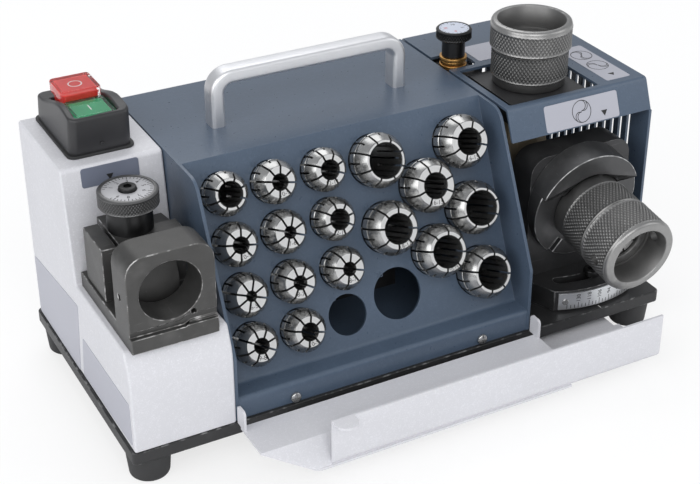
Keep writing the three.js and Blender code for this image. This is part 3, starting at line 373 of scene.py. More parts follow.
def prism(points, along, start, end, holes=()):
    """Flat outline carried straight along one axis: two filled caps and a strip for each wall.

    The outline lies in (y, z) along x, in (x, z) along y and in (x, y) along z.
    """
    loops = [np.asarray(loop, float) for loop in (points, *holes)]
    caps = np.array(tessellate_polygon([[Vector((a, b, 0)) for a, b in loop] for loop in loops]))
    flat = np.concatenate(loops)
    count = len(flat)
    walls = []
    first = 0
    for loop in loops:
        here = first + np.arange(len(loop))
        there = first + np.roll(np.arange(len(loop)), -1)
        walls.append(np.stack([here, there, there + count, here + count], 1))
        first += len(loop)
    depth = (-end, -start) if along == "y" else (start, end)
    low = np.column_stack([flat, np.full(count, depth[0])])
    high = np.column_stack([flat, np.full(count, depth[1])])
    faces = caps[:, ::-1].tolist() + (caps + count).tolist() + np.concatenate(walls).tolist()
    return np.concatenate([low, high]) @ TURNS[along], faces


def block(x0, x1, y0, y1, z0, z1):
    """Box between two corners."""
    return prism([(x0, y0), (x1, y0), (x1, y1), (x0, y1)], "z", z0, z1)


def turned(profile, count=MEDIUM, shift=None):
    """Closed (radius, height) profile turned once about z, on an angle by profile grid.

    shift(angle, radius, height) is taken off the radius, as for knurling.
    """
    profile = np.asarray(profile, float)[:, :2]
    angle = np.linspace(0, 2 * np.pi, count, endpoint=False)[:, None]
    radius, height = profile[None, :, 0], profile[None, :, 1]
    if shift is not None:
        radius = radius - shift(angle, radius, height)
    points = np.stack(np.broadcast_arrays(
        radius * np.cos(angle), radius * np.sin(angle), height), 2).reshape(-1, 3)
    across = len(profile)
    u, v = np.meshgrid(np.arange(count), np.arange(across), indexing="ij")
    along, over = (u + 1) % count, (v + 1) % across
    faces = np.stack([u * across + v, along * across + v, along * across + over, u * across + over], 2)
    return points, faces.reshape(-1, 4).tolist()


def together(*solids):
    """Several solids as one list of points and faces."""
    points, faces, count = [], [], 0
    for spots, sides in solids:
        points.append(spots)
        faces.extend([[corner + count for corner in side] for side in sides])
        count += len(spots)
    return np.concatenate(points), faces


def laid(solid, origin, right=(1, 0, 0), up=(0, 1, 0)):
    """Solid drawn on a plane: its x goes along right, its y along up and its z off the plane."""
    right, up = np.array(right, float), np.array(up, float)
    basis = np.array([right, up, np.cross(right, up)])
    return solid[0] @ basis + np.asarray(origin, float), solid[1]


def spun(solid, degrees):
    """Solid turned about z."""
    c, s = np.cos(np.radians(degrees)), np.sin(np.radians(degrees))
    return laid(solid, (0, 0, 0), (c, s, 0), (-s, c, 0))


def scratch_object(solid):
    mesh = bpy.data.meshes.new("scratch")
    mesh.from_pydata(solid[0].tolist(), [], solid[1])
    editing = bmesh.new()
    editing.from_mesh(mesh)
    bmesh.ops.remove_doubles(editing, verts=editing.verts, dist=WELD)
    bmesh.ops.recalc_face_normals(editing, faces=editing.faces)
    editing.to_mesh(mesh)
    editing.free()
    return bpy.data.objects.new("scratch", mesh)


def evaluated(thing):
    """Points and faces of an object with its modifiers, after which the object is removed."""
    bpy.context.view_layer.update()
    mesh = bpy.data.meshes.new_from_object(thing.evaluated_get(bpy.context.evaluated_depsgraph_get()))
    points = np.empty(len(mesh.vertices) * 3)
    mesh.vertices.foreach_get("co", points)
    faces = [list(face.vertices) for face in mesh.polygons]
    bpy.data.objects.remove(thing)
    bpy.data.meshes.remove(mesh)
    return points.reshape(-1, 3), faces


def combined(operation, body, others):
    """Exact union or difference of one solid with several others."""
    scene = bpy.context.scene.collection
    group = bpy.data.collections.new("scratch")
    scene.children.link(group)
    tools = [scratch_object(other) for other in others]
    for tool in tools:
        group.objects.link(tool)
    thing = scratch_object(body)
    scene.objects.link(thing)
    change = thing.modifiers.new("change", "BOOLEAN")
    change.operation, change.solver = operation, "EXACT"
    change.operand_type, change.collection = "COLLECTION", group
    result = evaluated(thing)
    for tool in tools:
        bpy.data.objects.remove(tool)
    bpy.data.collections.remove(group)
    return result


def cut(body, *tools):
    return combined("DIFFERENCE", body, tools)


def join(body, *others):
    return combined("UNION", body, others)


def lettering(words, height, depth):
    """Plain figures, centred on the plane, as a solid that stands off it by depth."""
    curve = bpy.data.curves.new("figures", "FONT")
    curve.body, curve.size, curve.extrude = words, height * LETTER_SIZE_SHARE, depth / 2
    curve.align_x, curve.align_y, curve.resolution_u = "CENTER", "CENTER", 3
    thing = bpy.data.objects.new("figures", curve)
    bpy.context.scene.collection.objects.link(thing)
    points, faces = evaluated(thing)
    return points + [0, 0, depth / 2], faces


def knurled(profile, radius, pitch, low, high):
    """Profile turned with two crossing sets of helical grooves between two heights.

    A groove's depth is the larger of two triangle waves, which run along angle + height and
    angle - height, and fade to nothing at the band's ends.
    """
    knurl = bpy.context.scene.grinder_knurl
    turns = np.round(2 * np.pi * radius / pitch)

    def depth_at(angle, out, height):
        around, along = angle * turns / (2 * np.pi), height / (pitch * KNURL_LEAD_SHARE)
        waves = [np.abs(2 * ((around + side * along) % 1) - 1) for side in (-1, 1)]
        inside = np.clip((height - low) / pitch * 2, 0, 1) * np.clip((high - height) / pitch * 2, 0, 1)
        rim = (out > radius - WELD) & (height > low) & (height < high)
        cut_share = (1 + KNURL_CREST_SHARE) * np.maximum(*waves) - KNURL_CREST_SHARE
        return pitch * knurl.depth_share * np.clip(cut_share, 0, 1) * inside * rim
    return turned(profile, int(2 * np.pi * radius / pitch) * knurl.samples, depth_at)


def band(radius, pitch, low, high):
    """Even rows of a profile up a knurled band."""
    step = pitch * KNURL_LEAD_SHARE / bpy.context.scene.grinder_knurl.samples
    count = max(int(np.ceil((high - low) / step)), 1)
    return [(radius, height) for height in np.linspace(low, high, count + 1)]


def groove_share(solid, radius, pitch, low, high):
    """How deep each point of a knurled band lies, from 0 at the crests to 1."""
    depth = pitch * bpy.context.scene.grinder_knurl.depth_share
    across, along, height = solid[0].T
    reach = np.hypot(across, along)
    inside = (height >= low) & (height <= high) & (reach > radius - depth - WELD)
    return np.where(inside, (radius - reach) / depth, 0.0)


# Making pieces

def make(name, solid, body, look, edge=0.0, lightened=None, stands_for="", values=None, segments=2,
         soft=32, clamped=True):
    """Mesh object from a solid: welded, faces outward, edges softened, riding on its body."""
    mesh = bpy.data.meshes.new(name)
    mesh.from_pydata((DATUM + solid[0] * MILLIMETRE).tolist(), [], solid[1])
    for key, numbers in (values or {}).items():
        mesh.attributes.new(key, "FLOAT", "POINT").data.foreach_set("value", numbers)
    editing = bmesh.new()
    editing.from_mesh(mesh)
    bmesh.ops.remove_doubles(editing, verts=editing.verts, dist=WELD * MILLIMETRE)
    if edge:
        bmesh.ops.dissolve_limit(
            editing, angle_limit=FLAT, verts=editing.verts, edges=editing.edges)
    bmesh.ops.recalc_face_normals(editing, faces=editing.faces)
    editing.to_mesh(mesh)
    editing.free()
    mesh.shade_smooth()
    mesh.materials.append(bpy.data.materials[look])
    piece = bpy.data.objects.new(name, mesh)
    bpy.context.scene.collection.objects.link(piece)
    if edge:
        # The second material, when given, goes on the bevels: a painted edge highlight, lighter than the
        # faces.
        if lightened:
            mesh.materials.append(bpy.data.materials[lightened])
        bevel = piece.modifiers.new("edges", "BEVEL")
        bevel.width, bevel.segments = edge * MILLIMETRE, segments
        bevel.limit_method, bevel.angle_limit = "ANGLE", np.radians(soft)
        bevel.harden_normals = True
        bevel.use_clamp_overlap = clamped
        bevel.material = 1 if lightened else -1
    else:
        mesh.set_sharp_from_angle(angle=np.radians(soft))
    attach(piece, body)
    if stands_for:
        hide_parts(stands_for)


# Finishes

def operation(name, swapped=False):
    def apply(self, other):
        terms = (other, self) if swapped else (self, other)
        return self.finish.node("ShaderNodeMath", {"operation": name}, dict(enumerate(terms)))
    return apply


class Value:
    """A shader socket that can be used in sums: each operator adds one Math node."""

    def __init__(self, finish, socket):
        self.finish, self.socket = finish, socket

    __add__, __radd__ = operation("ADD"), operation("ADD", True)
    __sub__, __rsub__ = operation("SUBTRACT"), operation("SUBTRACT", True)
    __mul__, __rmul__ = operation("MULTIPLY"), operation("MULTIPLY", True)


class Finish:
    """A material, or a world, written as expressions on its Object coordinates."""

    def __init__(self, name, world=None):
        self.owner = world or bpy.data.materials.new(name)
        self.owner.use_nodes = True
        self.tree = self.owner.node_tree
        self.tree.nodes.clear()
        self.place = None

    def node(self, kind, settings=None, sockets=None, output=0):
        """Adds a node: its settings first, then the values or links of its sockets."""
        node = self.tree.nodes.new(kind)
        for key, value in (settings or {}).items():
            setattr(node, key, value)
        for key, value in (sockets or {}).items():
            if isinstance(value, Value):
                self.tree.links.new(value.socket, node.inputs[key])
            else:
                node.inputs[key].default_value = value
        return Value(self, node.outputs[output]) if node.outputs else node

    def noise(self, size, detail=2.0, stretch=(1, 1, 1)):
        """Noise whose features are about size millimetres, stretched along the axes."""
        self.place = self.place or self.node("ShaderNodeTexCoord", output="Object")
        spot = self.node("ShaderNodeMapping", sockets={"Vector": self.place, "Scale": stretch})
        return self.node("ShaderNodeTexNoise", sockets={
            "Vector": spot, "Scale": 1 / (size * MILLIMETRE), "Detail": detail})

    def between(self, value, low, high):
        """0 below low, 1 above high, straight between."""
        return self.node("ShaderNodeMapRange", {"clamp": True}, {
            "Value": value, "From Min": low, "From Max": high})

    def blend(self, factor, first, second):
        """Colour mix; a colour is three numbers or a link."""
        def whole(colour):
            return colour if isinstance(colour, Value) else (*colour, 1)
        return self.node("ShaderNodeMix", {"data_type": "RGBA"}, {
            0: factor, 6: whole(first), 7: whole(second)}, output=2)

    def bump(self, height, depth, strength=1.0):
        """Normal of a relief whose height 1 is depth millimetres."""
        return self.node("ShaderNodeBump", sockets={
            "Strength": strength, "Distance": depth * MILLIMETRE, "Height": height})

    def surface(self, **sockets):
        names = {key: key.replace("_", " ").title().replace("Ior", "IOR") for key in sockets}
        values = {}
        for key, value in sockets.items():
            if key in ("base_color", "emission_color") and not isinstance(value, Value):
                value = (*value, 1)
            values[names[key]] = value
        shader = self.node("ShaderNodeBsdfPrincipled", sockets=values)
        self.node("ShaderNodeOutputMaterial", sockets={"Surface": shader})


def powder_coat(name, colour, grain, depth, gloss):
    """Baked paint: fine orange peel, faint cloudiness, duller and lighter on the peaks; the lighter peaks
    are a painted highlight.
    """
    finish = Finish(name)
    peel = finish.noise(size=grain) * 0.7 + finish.noise(size=grain * 3.5, detail=1) * 0.3
    cloud = finish.noise(size=60, detail=3)
    peak_highlight = finish.between(peel, low=0.5, high=0.72)
    shade = finish.blend(cloud, [c * 0.94 for c in colour], [min(c * 1.06, 1) for c in colour])
    # Painted highlight: the peel's peaks are mixed toward a lighter colour, as where they catch the light.
    lighter = finish.blend(peak_highlight * 0.3, shade, [min(c * 1.5 + 0.01, 1) for c in colour])
    finish.surface(
        base_color=lighter, roughness=gloss + 0.14 * finish.noise(size=grain * 2, detail=1),
        normal=finish.bump(peel, depth=depth, strength=0.8), specular_ior_level=0.5)


def blackened(name, dark, light, metallic, rough):
    """Oxide-black steel: mottled, with fine scratches and grey rub marks."""
    finish = Finish(name)
    mottle = finish.noise(size=9, detail=5)
    fine = finish.noise(size=0.6)
    scratch = finish.between(finish.noise(size=2.2, stretch=(0.12, 1.8, 1.8)), low=0.70, high=0.74)
    other = finish.between(finish.noise(size=2.6, stretch=(1.8, 0.15, 1.2)), low=0.72, high=0.76)
    rubbed = finish.between(finish.noise(size=22, detail=3), low=0.55, high=0.8) * 0.5
    grey = finish.blend(mottle, dark, light)
    lightened = finish.blend(rubbed + (scratch + other) * 0.35, grey, [c * 1.9 for c in light])
    finish.surface(
        base_color=lightened, metallic=metallic, roughness=rough + 0.16 * (fine - 0.5) + 0.12 * (mottle - 0.5),
        normal=finish.bump(fine + 0.4 * (scratch + other), depth=0.03, strength=0.6))


def worn_edge(name, base_colour, bright, share):
    """Broken edge of dark steel, painted lighter than the faces as an edge highlight, and brighter in
    places.
    """
    finish = Finish(name)
    rub = finish.between(
        finish.noise(size=5, detail=4), low=0.62 - share, high=0.72 - share * 0.4)
    finish.surface(
        base_color=finish.blend(rub, base_colour, bright), metallic=0.85,
        roughness=0.42 - 0.08 * rub, normal=finish.bump(finish.noise(size=0.5), depth=0.02, strength=0.5))


def turned_steel(name, dark, light, rough, grain=0.5):
    """Machined steel: fine grain, soft clouds, and darker and rougher where the groove attribute is set: in
    the knurling's grooves, and as painted shade inside the chuck nuts.
    """
    finish = Finish(name)
    groove = finish.node("ShaderNodeAttribute", {"attribute_name": "groove"}, output="Fac")
    cloud = finish.noise(size=14, detail=4)
    fine = finish.noise(size=grain)
    grey = finish.blend(cloud, dark, light)
    # Darker and rougher where the groove attribute is high: the knurl grooves, and painted shade inside the
    # chuck nuts' mouths.
    darker_in_hollows = finish.blend(groove * 0.85, grey, [c * 0.3 for c in dark])
    finish.surface(
        base_color=darker_in_hollows, metallic=0.92, roughness=rough + 0.14 * (fine - 0.5) + 0.25 * groove,
        normal=finish.bump(fine, depth=0.025, strength=0.7))


def moulded(name, colour, rough, grain, depth):
    """Moulded plastic or rubber with a fine grain."""
    finish = Finish(name)
    pits = finish.noise(size=grain)
    tone = finish.noise(size=25, detail=3)
    dust = finish.between(tone, low=0.5, high=0.85) * 0.35
    dusty = finish.blend(dust, colour, [c * 1.8 + 0.012 for c in colour])
    finish.surface(
        base_color=dusty, roughness=rough + 0.12 * (pits - 0.5),
        normal=finish.bump(pits, depth=depth, strength=0.7))


def printed_plate(name, colour):
    """Satin foil with a faint brushed grain."""
    finish = Finish(name)
    grain = finish.noise(size=1.2, stretch=(0.08, 1, 1))
    cloud = finish.noise(size=30)
    finish.surface(
        base_color=finish.blend(cloud * 0.5 + grain * 0.3, [c * 0.93 for c in colour], colour),
        metallic=0.25, roughness=0.38 + 0.1 * grain, normal=finish.bump(grain, depth=0.01, strength=0.4))


def plain(name, colour, rough):
    """Ink or lacquer with only slight unevenness."""
    finish = Finish(name)
    fleck = finish.noise(size=0.8)
    finish.surface(
        base_color=finish.blend(fleck, [c * 0.85 for c in colour], [min(c * 1.1, 1) for c in colour]),
        roughness=rough + 0.1 * (fleck - 0.5))


def clear_cap(name):
    """Clear moulded cap over a button."""
    finish = Finish(name)
    finish.surface(
        base_color=(1, 1, 1), roughness=0.06, transmission_weight=1.0, ior=1.45,
        normal=finish.bump(finish.noise(size=4), depth=0.02, strength=0.4))


def abrasive(name):
    """Bonded grit: sparkling grains of several tones."""
    finish = Finish(name)
    grain = finish.noise(size=0.35, detail=3)
    tone = finish.noise(size=6, detail=3)
    sand = finish.blend(grain, (0.07, 0.065, 0.06), (0.3, 0.28, 0.25))
    finish.surface(
        base_color=finish.blend(tone * 0.35, sand, (0.1, 0.09, 0.08)),
        roughness=0.7 + 0.25 * grain, normal=finish.bump(grain, depth=0.18, strength=1.0))


def make_finishes():
    colours = bpy.context.scene.grinder_colours
    powder_coat("blue_coat", list(colours.cover), grain=1.0, depth=0.10, gloss=0.24)
    powder_coat("white_coat", list(colours.housing), grain=0.8, depth=0.09, gloss=0.40)
    # Painted light: the tray's coat is the housing's colour made a little lighter, a painted lightening
    # against the shade that falls on the tray.
    powder_coat("tray_coat", [c * 1.03 for c in colours.housing], grain=0.7, depth=0.02, gloss=0.30)
    blackened("base_black", (0.020, 0.020, 0.021), (0.034, 0.034, 0.035), metallic=0.2, rough=0.46)
    blackened("gauge_steel", (0.052, 0.051, 0.050), (0.092, 0.091, 0.089), metallic=0.66, rough=0.44)
    blackened("port_black", (0.040, 0.040, 0.042), (0.070, 0.070, 0.072), metallic=0.6, rough=0.42)
    # Edge finishes: bevels painted lighter than the faces, a painted edge highlight.
    worn_edge("gauge_edge", (0.12, 0.118, 0.115), (0.46, 0.455, 0.45), share=0.13)
    worn_edge("port_edge", (0.10, 0.10, 0.102), (0.45, 0.45, 0.45), share=0.13)
    worn_edge("base_edge", (0.045, 0.045, 0.046), (0.2, 0.2, 0.2), share=0.1)
    blackened("disc_steel", (0.062, 0.062, 0.064), (0.105, 0.105, 0.107), metallic=0.68, rough=0.38)
    # The disc's bevels get a brighter painted edge highlight.
    worn_edge("disc_edge", (0.20, 0.20, 0.20), (0.6, 0.6, 0.6), share=0.2)
    turned_steel("dial_steel", (0.11, 0.11, 0.111), (0.19, 0.19, 0.191), rough=0.34)
    turned_steel("chuck_steel", (0.24, 0.238, 0.235), (0.36, 0.357, 0.352), rough=0.36)
    turned_steel("sleeve_steel", (0.17, 0.169, 0.167), (0.26, 0.258, 0.254), rough=0.36)
    turned_steel("knob_black", (0.030, 0.030, 0.031), (0.055, 0.055, 0.056), rough=0.38)
    turned_steel("collet_steel", (0.27, 0.27, 0.267), (0.50, 0.50, 0.495), rough=0.22, grain=0.25)
    turned_steel("collet_face", (0.62, 0.62, 0.615), (0.72, 0.72, 0.715), rough=0.42, grain=0.3)
    turned_steel("handle_silver", (0.64, 0.645, 0.665), (0.74, 0.745, 0.765), rough=0.44, grain=0.3)
    turned_steel("bright_steel", (0.38, 0.38, 0.375), (0.5, 0.5, 0.495), rough=0.26, grain=0.4)
    turned_steel("brass", (0.30, 0.19, 0.075), (0.46, 0.31, 0.14), rough=0.32, grain=0.4)
    turned_steel("motor_grey", (0.16, 0.165, 0.17), (0.22, 0.225, 0.23), rough=0.5, grain=0.8)
    moulded("switch_black", (0.020, 0.020, 0.022), rough=0.40, grain=0.8, depth=0.05)
    moulded("foot_rubber", (0.024, 0.024, 0.025), rough=0.62, grain=0.7, depth=0.06)
    moulded("gasket_rubber", (0.016, 0.016, 0.017), rough=0.6, grain=1.6, depth=0.35)
    moulded("stop_red", list(colours.stop), rough=0.3, grain=1.5, depth=0.01)
    moulded("start_green", list(colours.start), rough=0.3, grain=1.5, depth=0.01)
    clear_cap("clear_cap")
    printed_plate("silver_plate", (0.44, 0.445, 0.50))
    printed_plate("blue_plate", (0.17, 0.19, 0.25))
    printed_plate("scale_plate", (0.60, 0.61, 0.65))
    printed_plate("dial_white", (0.42, 0.42, 0.44))
    printed_plate("knob_white", (0.60, 0.64, 0.74))
    plain("ink", (0.012, 0.012, 0.013), rough=0.5)
    plain("red_ink", (0.55, 0.04, 0.03), rough=0.5)
    plain("white_ink", (0.8, 0.8, 0.8), rough=0.4)
    plain("engraving", (0.02, 0.02, 0.02), rough=0.6)
    abrasive("grit")


# Marks on flat plates

def triangle_mark(width, height):
    """Pointer that hangs from its flat side."""
    return prism([(-width / 2, height / 2), (width / 2, height / 2), (0, -height / 2)][::-1],
                 "z", 0, plate.mark)


def ring_mark(radius, stroke):
    return prism(circle(0, 0, radius), "z", 0, plate.mark, [circle(0, 0, radius - stroke)[::-1]])


def curve_mark(points, stroke):
    """Stroke of even width along a line."""
    left, right = sideways(points, stroke / 2), sideways(points, -stroke / 2)
    return prism(np.concatenate([right, left[::-1]]), "z", 0, plate.mark)


def foil(size):
    """Plain plate, half sunk in the sheet that it lies on."""
    outline = box_outline(size.left, size.foot, size.right, size.top, plate.corner)
    return prism(outline, "z", -plate.thickness, plate.thickness)


def tip_mark(turn):
    """End view of a drill: a circle with two cutting lips joined by a short web."""
    radius, stroke = plate.sign, plate.stroke
    lip = curve_mark(
        arc(0, radius * plate.lip_at_share, radius * plate.lip_share, -90, 90, 2 * ROUND_STEPS), stroke)
    flute = curve_mark(
        arc(radius * plate.flute_x_share, radius * plate.flute_y_share, radius * plate.flute_share,
            plate.flute_start, plate.flute_end, 2 * ROUND_STEPS), stroke)
    drawn = together(ring_mark(radius, stroke), lip, spun(lip, 180), flute, spun(flute, 180))
    return spun(drawn, turn)


# Pieces

class GRINDER_OT_base(bpy.types.Operator):
    """Base plate with its index mark, and four rubber feet"""

    bl_idname = "grinder.base"
    bl_label = "Base and feet"

    def execute(self, context):
        outline = box_outline(0, 0, base.length, base.depth, base.corner)
        # The base plate's bevels carry a painted edge highlight.
        make("base_plate_edge", prism(outline, "z", -base.thickness, 0), "root", "base_black",
             edge=base.edge, lightened="base_edge", stands_for="base_plate")
        half = base.index_width / 2
        index = block(base.index - half, base.index + half, base.edge, base.edge + base.index_length, 0,
                      plate.mark)
        make("base_index_mark", index, "root", "white_ink")
        profile = rounded([
            (0, 0), (foot.sole, 0, foot.edge), (foot.top, foot.height, foot.edge / 4), (0, foot.height)])
        for name, x, y in (
                ("foot_front_left", foot.inset, foot.inset),
                ("foot_front_right", base.length - foot.inset, foot.inset),
                ("foot_rear_left", foot.inset, base.depth - foot.inset),
                ("foot_rear_right", base.length - foot.inset, base.depth - foot.inset)):
            shape = laid(turned(profile, MEDIUM), (x, y, -base.thickness - foot.height))
            make(name + "_rubber", shape, "root", "foot_rubber", stands_for=name)
        return {"FINISHED"}


class GRINDER_OT_housing(bpy.types.Operator):
    """White housing with its ledge, leaning column and bare plates"""

    bl_idname = "grinder.housing"
    bl_label = "Switch housing"

    def execute(self, context):
        scene = context.scene
        profile = rounded([
            (0, 0), (housing.back, 0), (housing.back, casing.height, housing.edge),
            (housing.column_top, casing.height, housing.edge),
            (housing.column_foot, housing.ledge, housing.round),
            (housing.lip_set, housing.ledge, housing.edge), (housing.shoulder_set, housing.shoulder),
            (0, housing.plinth)])
        make("housing_shell", prism(profile, "x", housing.left, housing.right), "root", "white_coat",
             edge=scene.grinder_edges.paint, segments=4, soft=60, stands_for="switch_housing")
        lean = np.array([0, housing.column_top - housing.column_foot, casing.height - housing.ledge])
        lean = lean / np.linalg.norm(lean)
        foot_of = np.array([0, housing.column_foot, housing.ledge])
        make("column_plate", laid(foil(column_plate), foot_of, up=lean), "root", "blue_plate",
             edge=plate.edge)
        arrow = laid(
            triangle_mark(column_plate.pointer_width, column_plate.pointer_height),
            foot_of + lean * column_plate.pointer_up + [column_plate.pointer, 0, 0]
            + np.cross([1, 0, 0], lean) * plate.thickness, up=lean)
        make("column_pointer", arrow, "root", "ink")
        for name, spots in side_plates.items():
            outline = rounded([(a, b, plate.corner) for a, b in spots])
            make(name, prism(outline, "x", housing.left - plate.thickness, housing.left + plate.thickness),
                 "root", "silver_plate", edge=plate.edge)
        return {"FINISHED"}


class GRINDER_OT_switch(bpy.types.Operator):
    """Rubber seal, moulded surround with its swept rim, and two capped buttons"""

    bl_idname = "grinder.switch"
    bl_label = "Switch"

    def execute(self, context):
        seat = casing.height
        top = seat + toggle.gasket
        margin = toggle.gasket_margin
        seal = box_outline(
            toggle.left - margin, toggle.foot_front - margin, toggle.right + margin,
            toggle.back + margin, toggle.corner)
        make("switch_seal", prism(seal, "z", seat, top), "root", "gasket_rubber",
             edge=toggle.seal_edge, segments=3, stands_for="switch_gasket")
        make("switch_surround", self.surround(top), "root", "switch_black", stands_for="switch_body",
             soft=50)
        dimple = laid(turned(rounded([
            (0, -toggle.dimple_root), (toggle.dimple, -toggle.dimple_root),
            (toggle.dimple, toggle.dimple_rise, toggle.dimple_edge), (0, toggle.dimple_rise)]), COARSE),
            (toggle.dimple_x, toggle.front + toggle.dimple_back, toggle.dimple_height), up=(0, 0, 1))
        make("switch_dimple", dimple, "root", "switch_black")
        self.cap("start_button", "start_green", button.green_front, button.green_back, button.green_top)
        self.cap("stop_button", "stop_red", button.green_back + 2 * button.gap, button.red_back,
                 button.red_top)
        return {"FINISHED"}

    def surround(self, top):
        """Loops from foot to rim to well: each point is outer + share * (inner - outer), and its
        height is foot + rise * (rim at its depth - foot)."""
        gap = button.gap
        outer = box_outline(
            toggle.left, toggle.foot_front, toggle.right, toggle.back, toggle.corner, toggle.steps)
        inner = box_outline(
            button.left - gap, button.green_front - gap, button.right + gap, button.red_back + gap,
            toggle.well_corner, toggle.steps)
        share = np.linspace(0, 1, toggle.cuts, endpoint=False)[:, None]

        def denser(loop):
            ahead = np.roll(loop, -1, 0)
            return np.concatenate([loop[i] + (ahead[i] - loop[i]) * share for i in range(len(loop))])
        outer, inner = denser(outer), denser(inner)

        def rim(depth):
            share = np.clip((depth - toggle.crest_at) / (toggle.rear_at - toggle.crest_at), 0, 1)
            fall = share * share * (3 - 2 * share)
            rise = np.clip((depth - toggle.front) / (toggle.crest_at - toggle.front), 0, 1)
            front = toggle.rim_front + (toggle.rim_crest - toggle.rim_front) * np.sin(rise * np.pi / 2)
            return front + (toggle.rim_rear - toggle.rim_crest) * fall
        front_lean = np.array([0, toggle.front - toggle.foot_front])
        bend = np.linspace(0, np.pi / 2, ROUND_STEPS)
        r = toggle.rim
        rows = [(0.0, 0.0, 0.0, 0.0)]
        rows += [(1.0, r * (1 - np.cos(t)), 0, -r * (1 - np.sin(t))) for t in bend]
        rows += [(1.0, None, r * (1 - np.sin(t)), -r * (1 - np.cos(t))) for t in bend]
        loops = []
        middle = np.array([(toggle.left + toggle.right) / 2, (toggle.foot_front + toggle.back) / 2])
        for rise, inset, back_off, drop in rows:
            toward = (middle - outer) / np.linalg.norm(middle - outer, axis=1, keepdims=True)
            near_front = np.clip((middle[1] - outer[:, 1:]) / toggle.lean_reach, 0, 1)
            if inset is None:
                flat = inner - (inner - outer) / np.linalg.norm(
                    inner - outer, axis=1, keepdims=True) * back_off
            else:
                flat = outer + rise * (toggle.draft * toward + front_lean * near_front) + inset * toward
            height = top + rise * (rim(flat[:, 1]) - top) + drop
            loops.append(np.column_stack([flat, height]))
        loops.append(np.column_stack([inner, np.full(len(inner), toggle.well_floor)]))
        loops = np.array(loops)
        rows_count, around = loops.shape[:2]
        u, v = np.meshgrid(np.arange(rows_count - 1), np.arange(around), indexing="ij")
        ahead = (v + 1) % around
        walls = np.stack([
            u * around + v, u * around + ahead, (u + 1) * around + ahead, (u + 1) * around + v], 2)
        floor = (rows_count - 1) * around + np.arange(around)
        faces = walls.reshape(-1, 4).tolist() + [floor.tolist(), np.arange(around)[::-1].tolist()]
        return loops.reshape(-1, 3), faces

    def cap(self, node, look, front, back, top):
        corner, wall = button.corner, button.wall
        shell = prism(box_outline(button.left, front, button.right, back, corner),
                      "z", top - button.skirt, top)
        make(node + "_cap", shell, node, "clear_cap", edge=button.cap_edge, segments=3)
        core = prism(box_outline(button.left + wall, front + wall, button.right - wall, back - wall,
                                 corner - wall / 2), "z", top - button.height, top - button.roof)
        make(node + "_core", core, node, look, edge=button.core_edge, segments=3, stands_for=node)
        x, y = (button.left + button.right) / 2, (front + back) / 2
        if node == "stop_button":
            sign = ring_mark(button.ring, button.stroke)
        else:
            sign = block(-button.stroke / 2, button.stroke / 2, -button.bar / 2, button.bar / 2, 0,
                         plate.mark)
        make(node + "_sign", laid(sign, (x, y, top - button.roof)), node, "white_ink")


